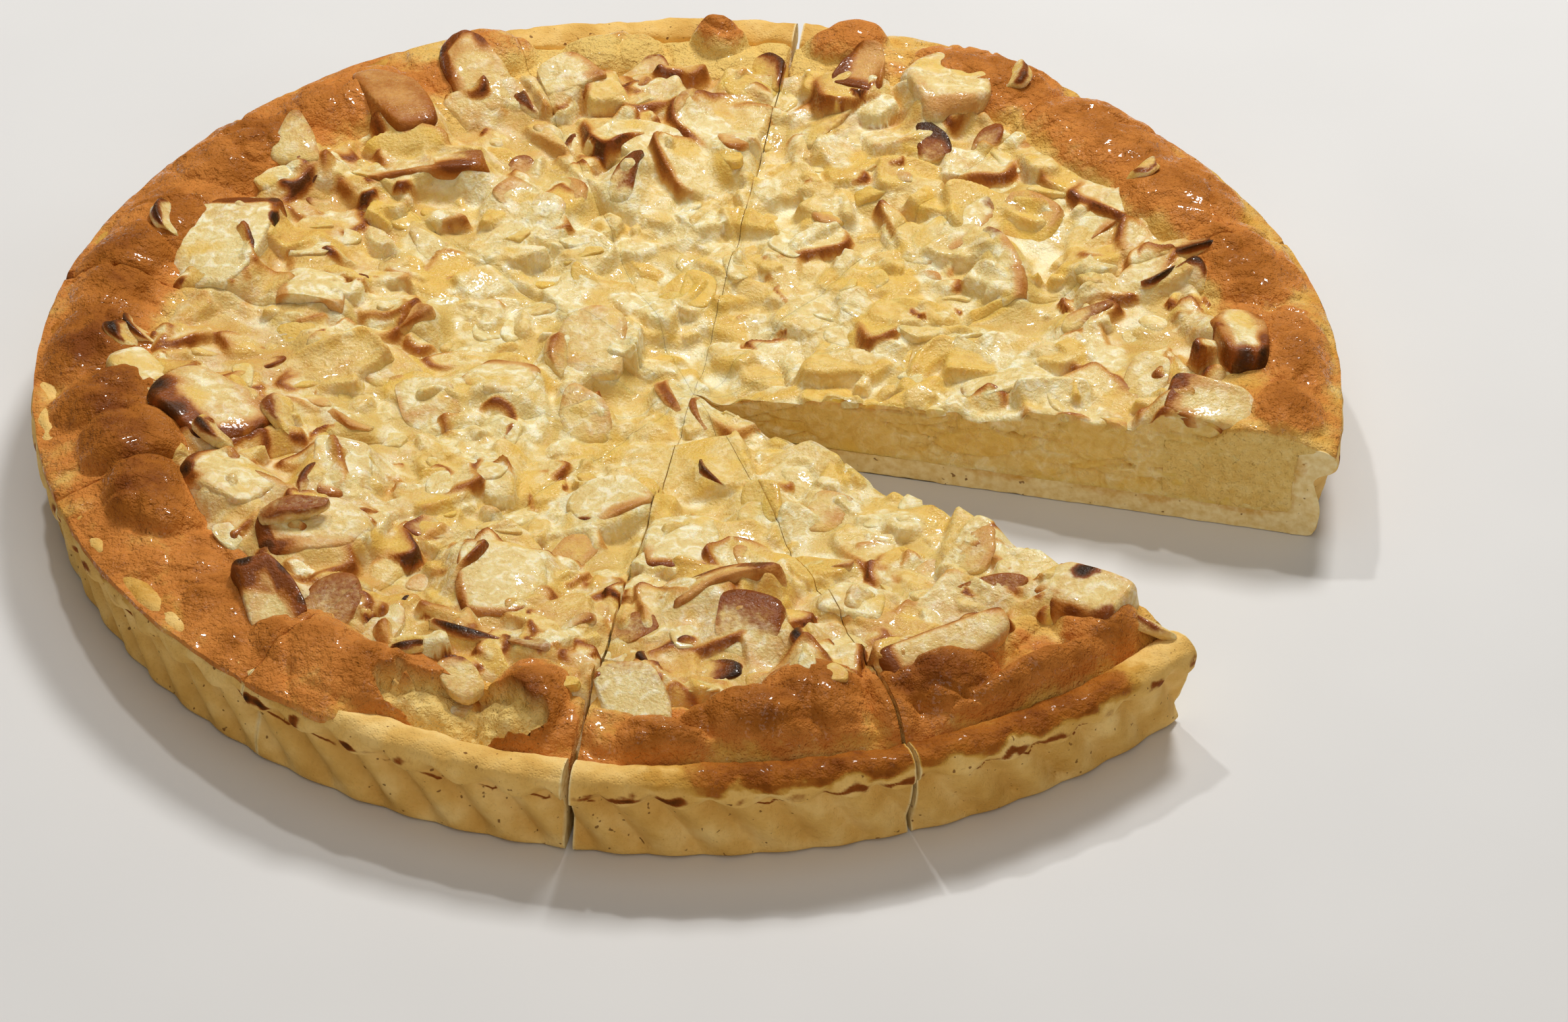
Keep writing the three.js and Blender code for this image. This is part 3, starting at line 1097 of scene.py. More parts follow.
@dataclass
class Crust(PiePart):
    """The short crust: floor, fluted wall and folded rim of every slice.

    FLOOR_SHARE of its section is floor. At HEM_HEIGHT, in millimetres, the pleats shape the hem.
    """

    noise: Noise = seeded(21)

    SLOT, PREFIX = Slot.CRUST, "short"
    FLOOR_SHARE = 0.40
    HEM_HEIGHT = 16

    def section(self, share: Array) -> tuple[Array, ...]:
        """Outer and inner line of the section, from the middle of the floor to the fold's tip.

        Args:
            share: How far along the section, from 0 to 1.

        Returns:
            Outer radius, outer height, inner radius and inner height, in millimetres.
        """
        form, base, rim = self.form, self.form.base_radius, self.form.rim_radius
        knots = np.array([
            # share, outer radius, outer height, inner radius, inner height
            (0.00, 0, 0, 0, form.floor),
            (self.FLOOR_SHARE, 129, 0, 125, form.floor),
            (0.45, base - 1.6, 0, 129.4, form.floor + 0.3),
            (0.48, base - 0.3, 0.8, 130.2, 6.6),
            (0.56, base + 0.2, 5.6, 130.4, 9.5),
            (0.64, base + 0.7, 10.6, 130.5, 12.5),
            (0.70, base + 1.2, 13.9, 130.6, 14.6),
            (0.74, base + 1.6, 15.6, 130.6, 15.6),
            (0.78, rim - 0.5, 16.6, 130.7, 16.4),
            (0.83, rim, 18.9, 130.8, 17.2),
            (0.88, rim - 0.8, 21.1, 130.9, 17.9),
            (0.92, 137, 22.3, 131, 18.4),
            (0.96, 134.2, 22.1, 131.1, 18.9),
            (0.99, 132, 21.2, 131.2, 19.4),
            (1.00, 131.5, 20.4, 131.3, 19.9),
        ])
        lines = []
        for column in range(1, 5):
            plain = np.interp(share, knots[:, 0], knots[:, column])
            smooth = sum(np.interp(share + shift, knots[:, 0], knots[:, column])
                         for shift in (-0.012, -0.006, 0, 0.006, 0.012)) / 5
            lines.append(np.where(share < 0.44, plain, smooth))
        return tuple(lines)

    def wave(self, heading: Array, height: Array) -> Array:
        """The pleats' wave: 1 on their crests and 0 in the grooves."""
        form = self.form
        drift = 0.9 * self.noise.around(heading, 0, 9)
        drift = drift * smoothstep(2, 10, np.abs((np.degrees(heading) + 45) % 90 - 45))
        turned = form.flutes * heading + drift + form.flute_lean * (height - 18.2)
        return (0.5 + 0.5 * np.cos(turned)) ** 0.6

    def flute(self, heading: Array, height: Array, share: Array) -> Array:
        """How far the pleats press the wall inwards, in millimetres."""
        strength = 0.8 + 0.4 * self.noise.around(heading, 7, 14)
        on_wall = smoothstep(0.44, 0.54, share) * smoothstep(0.86, 0.72, share)
        amount = 0.25 + 3 * on_wall
        return (1 - self.wave(heading, height)) * strength * amount * smoothstep(0.40, 0.46, share)

    def build(self, number: int, grid: Mesh, finish: Finish) -> Piece:
        """Build the crust of one slice, as PiePart.build says."""
        sector = self.knife.sector(number)
        shell = Shell.from_grid(grid)
        cells_on_floor = 0.5 if any(self.knife.exposed(number)) else 0.08
        share = np.interp(shell.across, [0, cells_on_floor, 1], [0, self.FLOOR_SHARE, 1])
        outer_r, outer_z, inner_r, inner_z = self.section(share)
        radius = lerp(outer_r, inner_r, shell.up)
        height = lerp(outer_z, inner_z, shell.up)
        x, y = sector.at(shell.around, radius)
        heading = np.arctan2(y, x)
        outside = 1 - shell.up
        fold = smoothstep(0.74, 0.80, share)
        hem = fold * smoothstep(0.92, 0.80, share)
        scallop = (2 * self.wave(heading, self.HEM_HEIGHT) - 0.8) * hem
        grainy = 0.30 * self.noise.layered(x, y, height, 6, 3) * smoothstep(0.44, 0.5, share)
        blister = 0.9 * self.noise.layered(x, y, height + 40, 6, 4) * fold
        blister = blister + 0.35 * self.oven.fold(x, y) * self.noise.layered(x, y, height, 1.9, 2) * fold
        dent = 0.5 * np.abs(self.noise.layered(x, y, height + 90, 12, 2)) * fold
        radius = radius - (self.flute(heading, height, share) + dent) * outside + grainy * outside - 0.25
        height = height + self.form.rim_wave(heading) * smoothstep(0.6, 0.8, share)
        height = height + (blister - scallop) * outside
        x, y = sector.at(shell.around, np.minimum(radius, self.form.rim_radius))
        height = np.maximum(height, 0)
        depth = 0.25 + 0.3 * self.noise.layered(x, y, height, 1.6, 2)
        x, y = shell.sink(sector, self.knife.exposed(number), x, y, depth)
        shell.bend(x, y, height)
        set_attributes(shell.mesh, self.browning(x, y, height, share, shell))
        return self.publish(shell.mesh, number, finish)

    def browning(self, x: Array, y: Array, z: Array, share: Array, shell: Shell) -> Values:
        """Bake, burn and cut values of the corners."""
        heading = np.arctan2(y, x)
        cut = shell.cut_mask()
        crest = self.wave(heading, self.HEM_HEIGHT)
        hem = 0.775 + 0.055 * crest
        speckled = 0.035 * self.noise.layered(x, y, 2 * z, 4, 3)
        fold = smoothstep(0, 0.05, share - hem - 0.03 + speckled)
        bake = self.oven.fold(x, y) * fold + 0.15 * self.noise.layered(x, y, z, 3, 2) * fold
        wall = smoothstep(0.3, 0.8, self.noise.layered(x, y, z + 80, 14, 2))
        bake = bake + 0.20 * wall * (1 - fold)
        lower_edge = smoothstep(0.034, 0.006, np.abs(share - hem + speckled))
        spots = smoothstep(0, 0.5, self.noise.layered(x, y, 20, 8, 3) + 0.25 * crest)
        where = 0.5 + 0.5 * smoothstep(34, 14, away(heading, 243))
        burn = lower_edge * spots * where
        ragged = 0.02 * self.noise.layered(x, y, z, 3, 2)
        arc = np.abs(share - 0.69 - 0.055 * crest - ragged)
        broken = smoothstep(-0.05, 0.3, self.noise.layered(x, y, 61, 9, 2))
        burn = np.maximum(burn, 0.55 * smoothstep(0.010, 0.002, arc) * broken)
        soaked = smoothstep(0.55, 1, shell.up + 0.5 * self.noise.layered(x, y, z, 5, 2))
        return {"bake": lerp(bake, 0.2 * bake + 0.26 * soaked, cut), "burn": burn * (1 - cut), "cut": cut}


# --- batter


@dataclass
class Batter(PiePart):
    """The risen batter beside and over the fold; TEAR is where its top has torn off."""

    noise: Noise = seeded(31)

    SLOT, PREFIX = Slot.BATTER, "baked"
    TEAR = Lump(249.5, 124, 18, 7, -4.6, 0)

    def top(self, x: Array, y: Array, share: Array) -> Array:
        """Height of the batter's top.

        Args:
            x: First coordinates, in millimetres.
            y: Second coordinates.
            share: 0 at its inner edge, 1 at its outer edge.

        Returns:
            The heights.
        """
        heading = np.arctan2(y, x)
        form = self.form
        crest = form.crest + 0.6 * np.sin(9 * heading + 2) + 0.4 * np.sin(17 * heading)
        crest = crest - 2.4 * (1 - form.cover(heading))
        rise = lerp(form.custard(x, y) - 2.4, crest, smoothstep(0, 0.5, share))
        rim = form.rim_top(np.full_like(x, form.rim_radius - 1.5), heading) + 0.4
        covered = lerp(rise, rim, np.clip((share - 0.5) / 0.5, 0, 1) ** 1.9)
        bare = lerp(rise, 19, np.clip((share - 0.80) / 0.20, 0, 1) ** 1.8)
        height = lerp(bare, covered, form.cover(heading))
        edge = smoothstep(0, 0.25, share) * smoothstep(1, 0.92, share)
        ragged = 0.3 * self.noise.layered(x, y, 30, 7, 3)
        swell = np.zeros_like(x)
        for lump in LUMPS:
            swell = np.maximum(swell, (1.4 * lump.rise + 0.6) * lump.at(x, y, ragged))
        torn = self.torn(x, y)
        height = height + (swell + self.TEAR.rise * torn) * edge
        rough = 1.1 * self.noise.layered(x, y, 0, 9, 3) + 0.30 * self.noise.layered(x, y, 6, 2.4, 2)
        rough = rough + torn * 2.2 * self.noise.layered(x, y, 5, 3.4, 3)
        wrinkle = 0.9 * smoothstep(0.16, 0, np.abs(self.noise.layered(x, y, 50, 12, 2)))
        height = height + (rough - wrinkle) * (0.25 + 0.75 * edge)
        ceiling = form.top - 1.6
        return np.where(height > ceiling, ceiling + 1.4 * (1 - np.exp((ceiling - height) / 1.4)), height)

    def torn(self, x: Array, y: Array) -> Array:
        """1 inside the torn place, with a ragged edge."""
        ragged = 0.5 * self.noise.layered(x, y, 70, 5, 3)
        return smoothstep(0.30, 0.5, self.TEAR.at(x, y, ragged))

    def outer(self, x: Array, y: Array) -> Array:
        """Radius of the batter's ragged outer edge, for points near it."""
        ragged = 0.36 * self.noise.layered(x, y, 9, 5, 2)
        return lerp(131.2, self.form.rim_radius - 0.9, self.form.cover(np.arctan2(y, x))) + ragged

    def surface(self, x: Array, y: Array) -> Array:
        """Height of the batter's top at points, and 0 where there is none."""
        heading = np.arctan2(y, x)
        inner, outer = self.form.inner(heading), self.outer(x, y)
        share = (np.hypot(x, y) - inner) / (outer - inner)
        return np.where((share > 0) & (share < 1), self.top(x, y, share), 0)

    def build(self, number: int, grid: Mesh, finish: Finish) -> Piece:
        """Build the batter of one slice, as PiePart.build says."""
        sector = self.knife.sector(number)
        shell = Shell.from_grid(grid)
        x, y = sector.at(shell.around, np.full_like(shell.around, 125))
        radius = lerp(self.form.inner(np.arctan2(y, x)), self.outer(x, y), shell.across)
        x, y = sector.at(shell.around, radius)
        heading = np.arctan2(y, x)
        top = self.top(x, y, shell.across) - sector.crease(x, y)
        inside = smoothstep(130.3, 131.1, radius)
        low = lerp(self.form.floor, self.form.rim_top(radius, heading) - 0.6, inside)
        z = lerp(np.minimum(low, top - 0.4), top, shell.up)
        depth = 0.3 + 0.5 * self.noise.layered(x, y, z, 2.2, 3)
        x, y = shell.sink(sector, self.knife.exposed(number), x, y, depth)
        shell.bend(x, y, z)
        cut = shell.cut_mask() * (shell.up < 0.97)
        pale = np.maximum(cut, self.torn(x, y) * (shell.up > 0.9))
        spots = smoothstep(0.35, 0.75, self.noise.layered(x, y, z + 33, 8, 2))
        burn = 0.55 * spots * smoothstep(0.9, 1, shell.across)
        pale_side = 0.8 * smoothstep(30, 12, away(heading, self.oven.PALE))
        thin = np.maximum(smoothstep(0.42, 0.08, shell.across), pale_side)
        bake = self.oven.batter(x, y, z)
        set_attributes(shell.mesh, {"bake": bake, "burn": burn, "cut": pale, "thin": thin})
        return self.publish(shell.mesh, number, finish)


# --- pieces of apple


@dataclass(frozen=True)
class Outline:
    """How a piece was cut: what its block is bent into, as shares of its half sizes.

    Attributes:
        power: 2 is round from above, 8 is square.
        corners: Straight cuts across it: heading in degrees and distance from its middle.
        taper: How much its far end narrows.
        wedge: How much it thins towards its left side.
        bow: How far its middle stands up.
        crescent: How far its middle is pushed to the left.
        dent: How hollow its top is.
        warp: How unevenly it is bent.
    """

    power: float = 5
    corners: tuple[tuple[float, float], ...] = ()
    taper: float = 0.1
    wedge: float = 0.1
    bow: float = 0.05
    crescent: float = 0
    dent: float = 0.12
    warp: float = 0.1

    def spread(self, angle: Array) -> Array:
        """One over the distance from the middle to the outline at angles, seen from above."""
        along, across = (np.abs(part(angle)) ** self.power for part in (np.cos, np.sin))
        spread = (along + across) ** (1 / self.power)
        for heading, distance in self.corners:
            reach = np.maximum(np.cos(angle - math.radians(heading)), 0) / distance
            spread = (spread**10 + reach**10) ** 0.1
        return spread


class Cut(Enum):
    """Common ways in which the apple was cut."""

    BLOCK = Outline(9, ((40, 1), (200, 0.95), (110, 0.9)), 0.15, 0.2, 0.05, 0, 0.08, 0.10)
    WEDGE = Outline(8, ((55, 0.72), (-50, 0.85), (150, 0.9)), 0.3, 0.6, 0.08, 0.1, 0.05, 0.10)
    SLAB = Outline(9, ((135, 0.95), (-25, 0.9), (20, 1.05)), 0.2, 0.25, 0.10, 0, 0.12, 0.12)
    CRESCENT = Outline(4, ((100, 0.9), (0, 0.9)), 0.5, 0.6, 0.15, 0.4, 0.06, 0.12)
    FLAP = Outline(6, ((38, 0.82), (-33, 0.9), (8, 0.88)), 0.3, 0.3, 0.12, 0.15, 0.1, 0.22)


@dataclass
class ChunkMaker:
    """Turns a gridded block into a cooked piece of apple.

    SLANTED and UPRIGHT are how many more straight cuts each piece has; with a higher CRISP the edges
    between them are sharper.
    """

    noise: Noise = seeded(41)

    SLANTED = 4
    UPRIGHT = 3
    CRISP = 12

    def shape(self, block: Array, outline: Outline, seed: float) -> tuple[Array, Array]:
        """Bend the corners of a block that reaches from -1 to 1.

        Args:
            block: The corners.
            outline: How the piece was cut.
            seed: Which of many pieces this is.

        Returns:
            The bent corners, and how close each is to an edge between two cuts, from 0 to 1.
        """
        rng = np.random.default_rng(int(10 * seed) + 3)
        angle = np.arctan2(block[:, 1], block[:, 0])
        wavy = 1 + 0.05 * self.noise.layered(1.9 * np.cos(angle) + seed, 1.9 * np.sin(angle), seed, 1, 2)
        cuts = [np.abs(block[:, 2]), np.hypot(block[:, 0], block[:, 1]) * outline.spread(angle) / wavy]
        for index in range(self.SLANTED + self.UPRIGHT):
            turn = rng.uniform(0, 2 * math.pi)
            lean = rng.uniform(0.35, 1.1) if index < self.SLANTED else 0
            flat = math.cos(lean)
            across = np.array([math.cos(turn) * flat, math.sin(turn) * flat, math.sin(lean)])
            cuts.append(np.maximum(block @ across, 0) / (np.abs(across).sum() * rng.uniform(0.66, 0.92)))
        most = np.max(cuts, axis=0)
        total = np.sum((np.stack(cuts) / most) ** self.CRISP, axis=0)
        edge = np.clip(total - 1, 0, 1)
        x, y, z = (block / (most * total ** (1 / self.CRISP))[:, None]).T
        side = np.maximum(np.abs(x), np.abs(y))
        z = z - outline.dent * np.clip(1 - side**4, 0, 1) * (block[:, 2] > 0)
        y = y * (1 - outline.taper * (x + 1) / 2)
        z = z * (1 - outline.wedge * (y + 1) / 2)
        z = z + outline.bow * (1 - x * x)
        y = y + outline.crescent * (0.5 - x * x)
        bent = np.stack([x, y, z], axis=-1)
        for axis in range(3):
            shift = np.array([seed + 9 * axis, 4 * axis, seed])
            place = np.stack([x, y, z], axis=-1) + shift
            bent[:, axis] += outline.warp * self.noise.at(*place.T, 1)
            bent[:, axis] += (0.008 + 0.09 * outline.warp) * self.noise.layered(*place.T, 0.45, 2)
        return bent, edge


def rim_of(block: Array, half: Array, width: float) -> Array:
    """How close corners from -1 to 1 are to a block's upper rim: 1 on it, 0 past its width."""
    inset = np.minimum((1 - np.abs(block[:, 0])) * half[0], (1 - np.abs(block[:, 1])) * half[1])
    return smoothstep(width, 0.1 * width, inset) * smoothstep(-0.5, 0.7, block[:, 2])


def pose(turn: float, tip: float, roll: float) -> Array:
    """The rotation of a piece.

    Args:
        turn: Heading of its length, in degrees.
        tip: How far its far end is lifted, in degrees.
        roll: How far its left side is lifted, in degrees.

    Returns:
        A three by three matrix.
    """
    turned = Matrix.Rotation(math.radians(turn), 3, "Z")
    tipped = Matrix.Rotation(math.radians(-tip), 3, "Y")
    rolled = Matrix.Rotation(math.radians(roll), 3, "X")
    return np.array(turned @ tipped @ rolled)


@dataclass(frozen=True)
class LargePiece:
    """The looks of a large piece of apple that has its own solid.

    Attributes:
        turn: Heading of its length, in degrees.
        tip: How far its far end is lifted.
        roll: How far its left side is lifted.
        outline: How it was cut.
        tone: 0 is cream, 1 is amber.
        bake: How brown it is all over.
        rim: How brown its rim is all round.
        edges: Browner sides: heading from its far end in degrees, and strength.
        scorches: Browned and burnt places: where along and across it, from -1 to 1, how far each
            spreads in millimetres, and its strength: 0.4 is brown and 1 is black.
        width: How wide its browned rim is, in millimetres.
    """

    turn: float
    tip: float
    roll: float
    outline: Outline
    tone: float
    bake: float
    rim: float
    edges: tuple[tuple[float, float], ...] = ()
    scorches: tuple[tuple[float, float, float, float], ...] = ()
    width: float = 3.2


LARGE_PIECES: tuple[LargePiece, ...] = tuple(LargePiece(*row) for row in (
    (98, -8, 10, Outline(5.2, (), -0.25), 0.05, 0.02, 0.2, ((180, 1), (90, 0.6), (270, 0.5)),
     ((-1, 0.2, 5, 0.9), (-1, -0.7, 4.5, 1), (0.2, 1, 3, 0.5))),
    (-12, -6, 18, Outline(7, ((30, 0.95),)), 0.25, 0.05, 0.1, ((180, 0.7),),
     ((-1, 0.9, 4.5, 1), (-1, 0, 3, 0.5))),
    (10, 8, 0, Outline(4.6, ((120, 0.9),), 0.1, 0.4, 0.2, 0.1, 0), 0.1, 0, 0, (), ((-1, 0, 3, 0.3),)),
    (98, 8, -14, Outline(4.4, (), 0.5, 0.3, 0.15, -0.35, 0.05), 0.1, 0, 0.05, ((270, 0.35),),
     ((0.9, -0.5, 5, 0.45),)),
    (47, 10, 14, Outline(5, (), -0.1, 0.4, 0.15, -0.2, 0.05), 0.15, 0, 0.1, ((270, 0.3),),
     ((1, -0.3, 6, 0.35),)),
    (43, 12, 10, Outline(6, (), -0.1, 0.4), 0.1, 0, 0.1, ((270, 0.5),), ((0.8, -0.4, 4, 0.5),)),
    (110, -6, 8, Outline(5.6, ((200, 0.95),), 0.1, 0.1, 0.05, 0, 0.3), 0.2, 0.04, 0.15, ((180, 0.2),),
     ((1, 0.2, 5, 0.3),)),
    (75, 10, 0, Outline(6.5, (), 0.1, 0.1, 0.05, 0, 0.3), 0.9, 0.25, 0.4, ((180, 0.6), (90, 0.5)),
     ((-1, -0.7, 5, 0.45),)),
    (160, 8, 6, Outline(4.6, ((60, 0.85),), 0.2, 0.3, 0.2), 0.15, 0, 0.05),
    (32, 8, 10, Outline(6, ((150, 0.9),)), 0.1, 0.03, 0.1, ((0, 0.5),), ((1, 0.6, 4, 0.4),)),
    (118, 12, -6, Outline(6.5, ((60, 0.95),), 0.2), 0.5, 0.1, 0.15, ((0, 1.1), (60, 0.6)),
     ((1, 0.6, 5, 0.75), (1, -0.5, 4, 0.6)), 3),
    (116, -2, 8, Outline(4.4, (), 0.1, 0.1, 0.25, 0, 0), 1, 0.5, 0.2, ((180, 0.3),)),
    (12, 4, -6, Outline(7, ((160, 0.9),), 0.1, 0.3), 0.25, 0.03, 0.1, ((0, 0.7), (270, 0.5)),
     ((0.95, 0.2, 8, 0.38),)),
    (84, 3, -6, Outline(9, ((215, 0.98), (150, 1.05)), 0.05, 0.1, 0.05, 0, 0.05), 0, 0, 0.12, ((0, 0.9),),
     ((1, -1, 4.5, 0.8), (0.45, -1, 3, 1.1), (0.6, 1, 4, 0.9)), 1.8),
    (100, -4, 6, Outline(4.3, ((300, 0.9),), 0, 0, 0.05, 0, 0.1), 0.05, 0, 0.5, ((270, 0.2),),
     ((0.1, -0.5, 1.8, 0.35),), 1.6),
    (130, 10, 10, Outline(5.6, ((300, 0.9), (200, 0.95)), 0.1, 0.2, 0.1), 0.2, 0.06, 0.3,
     ((90, 1.2), (180, 0.8)),
     ((0.9, 0.9, 7, 1.05), (0.1, 1, 6, 0.9), (-0.7, 1, 6, 0.95), (-1, -0.4, 4, 0.7)), 5),
    (-15, 4, -4, Outline(8, ((100, 0.95),), 0.1, 0.2), 0.25, 0.02, 0.1, ((90, 0.5), (180, 0.5))),
    (-35, -6, -8, Outline(5.4, ((150, 0.9),), 0.1), 0.2, 0.04, 0.15, ((180, 1), (90, 0.3)),
     ((-1, 0.3, 4, 0.9), (-1, -0.8, 5, 1)), 2.6),
    (85, 5, 6, Outline(9, ((200, 1),), 0.05, 0.1), 0.1, 0, 0.12, ((180, 0.45),), ((-1, 0.9, 6, 0.42),)),
    (8, -4, 8, Outline(6.5, ((140, 0.95),), 0.15), 0.15, 0.03, 0.15, ((180, 1), (270, 0.25)),
     ((-1, -0.8, 5, 0.8), (-1, 0.5, 3, 0.5))),
    (112, 16, -4, Outline(4.4, ((200, 0.8),), 0.1, 0.3, 0.1, -0.2, 0.05), 0.15, 0.06, 0.2,
     ((0, 1.2), (270, 1.2)), ((1, 0.1, 5, 1.05), (0.5, -1, 5, 1.05), (-0.3, -1, 4, 0.9)), 5.5),
    (98, 4, 4, Outline(7.5, ((330, 0.98), (215, 1)), 0.05, 0.1), 0.1, 0, 0.15, ((90, 0.45), (180, 0.5)),
     ((-1, -0.6, 3, 0.4),), 1.8),
    (30, 6, 0, Outline(5, ((60, 0.9),)), 0.15, 0, 0.1, ((270, 0.3),), ((-1, -0.6, 4, 0.85),)),
    (82, -3, 4, Outline(8.5, ((300, 0.98),), 0, 0.1), 0.05, 0, 0.08, ((180, 0.7),),
     ((-1, 0, 3, 0.35), (-1, 0.9, 4, 0.4))),
    (24, 8, -16, Outline(4.4, (), 0.3, 0.4, 0.2, 0.4, 0.1), 0.5, 0.2, 0.5, ((90, 0.5),),
     ((0.7, 0, 6, 0.7), (-1, 0, 5, 0.5))),
    (24, 6, 18, Outline(7, ((310, 0.95),), 0.05, 0.1), 0.35, 0.08, 0.3, ((90, 1.2), (180, 0.8)),
     ((-0.95, 1, 4.5, 1), (-0.3, 1, 3, 0.6)), 3),
    (-35, 4, 8, Outline(6, ((100, 0.95),)), 0.2, 0.05, 0.2, ((270, 0.8),),
     ((-0.2, 0.7, 4, 1.1), (0.9, -0.6, 5, 0.5))),
))


@dataclass
class Apples(PiePart):
    """The large pieces of apple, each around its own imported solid.

    Attributes:
        maker: What shapes them.
        points: Tops of the pieces made so far, in millimetres, for the custard to rise to.
    """

    maker: ChunkMaker
    points: list[Array] = field(default_factory=list)

    SLOT, PREFIX = Slot.APPLE, "large"

    def build(self, number: int, grid: Mesh, finish: Finish) -> Piece:
        """Build one large piece, counted from 0, as PiePart.build says."""
        look = LARGE_PIECES[number]
        turned = pose(look.turn, look.tip, look.roll)
        corners = coordinates(bpy.data.objects[self.node(number)].data) / MM @ turned
        low, high = corners.min(0), corners.max(0)
        half, middle = (high - low) / 2, (high + low) / 2
        mesh = grid.copy()
        block = coordinates(mesh) * 2
        bent, edge = self.maker.shape(block, look.outline, 3.1 * number)
        least, most = bent.min(0), bent.max(0)
        bent = (bent - (least + most) / 2) / ((most - least) / 2)
        place = (bent * half + middle) @ turned.T
        place[:, 2] = self.form.hold(place[:, 2])
        noise = self.maker.noise
        burn = np.zeros(len(block))
        for along, across, reach, strength in look.scorches:
            gap = np.hypot((block[:, 0] - along) * half[0], (block[:, 1] - across) * half[1])
            gap = gap + 1.8 * noise.layered(*place.T, 3, 2) + 2.5 * (block[:, 2] < 0)
            burn = np.maximum(burn, 0.92 * strength * smoothstep(1.15 * reach, 0.1 * reach, gap))
        angle = np.arctan2(block[:, 1], block[:, 0])
        toast = np.full(len(block), 0.5 * look.rim)
        for heading, strength in look.edges:
            toast = toast + strength * smoothstep(0.2, 0.8, np.cos(angle - math.radians(heading)))
        patch = 0.45 + 0.55 * smoothstep(-0.5, 0.4, noise.layered(*place.T, 6, 2))
        rim = np.maximum(rim_of(block, half, 1.5 * look.width), 0.12 * edge * (block[:, 2] > -0.3))
        bake = look.bake + 0.15 * self.oven.filling(place[:, 0], place[:, 1]) + 1.6 * toast * rim * patch
        tone = np.clip(look.tone + 0.2 * noise.layered(*place.T, 9, 2), 0, 1)
        mesh.vertices.foreach_set("co", (place * MM).ravel())
        mesh.update()
        set_attributes(mesh, {"bake": bake, "burn": burn, "tone": tone})
        self.points.append(place[block[:, 2] > 0.5])
        sectors = self.knife.sectors()
        cut_to_sector(mesh, max(sectors, key=lambda sector: sector.depth(*place[:, :2].mean(0))))
        return self.publish(mesh, number, finish)

    def carve(self, finish: Finish) -> None:
        """Build every large piece."""
        grid = box_grid((34, 26, 10))
        for number in range(len(LARGE_PIECES)):
            self.build(number, grid, finish)
        bpy.data.meshes.remove(grid)


def cut_to_sector(mesh: Mesh, sector: Sector) -> None:
    """Cut away what lies outside a slice and close the cut.

    Args:
        mesh: The mesh, in metres; it is changed.
        sector: The slice's plan.
    """
    bm = bmesh.new()
    bm.from_mesh(mesh)
    origin = Vector((sector.apex[0] * MM, sector.apex[1] * MM, 0))
    for second in (False, True):
        geometry = bm.verts[:] + bm.edges[:] + bm.faces[:]
        bmesh.ops.bisect_plane(bm, geom=geometry, dist=1e-6, plane_co=origin,
                               plane_no=sector.inward(second), clear_inner=True)
        rims = [e for e in bm.edges if e.is_boundary]
        if rims:
            bmesh.ops.holes_fill(bm, edges=rims, sides=0)
    bm.to_mesh(mesh)
    bm.free()


@dataclass(frozen=True)
class SmallPiece:
    """A piece of apple that has no solid of its own.

    Attributes:
        x: Its middle, in millimetres.
        y: Its middle, in millimetres.
        size: Length, width and thickness.
        turn: Heading of its length, in degrees.
        tip: How far its far end is lifted.
        roll: How far its left side is lifted.
        cut: How it was cut.
        lift: How far its middle stands over the filling.
        tone: 0 is cream, 1 is amber.
        bake: How brown it is.
        burn: How burnt it is.
    """

    x: float
    y: float
    size: tuple[float, float, float]
    turn: float
    tip: float
    roll: float
    cut: Cut
    lift: float
    tone: float
    bake: float
    burn: float

    @classmethod
    def flap(cls, x: float, y: float, width: float, turn: float, tone: float, bake: float,
             burn: float) -> SmallPiece:
        """A thin leaf that stands up out of the filling and has browned or burnt."""
        return cls(x, y, (8.5, width, 3.2), turn, 40, 0, Cut.FLAP, 0.1, tone, bake, burn)


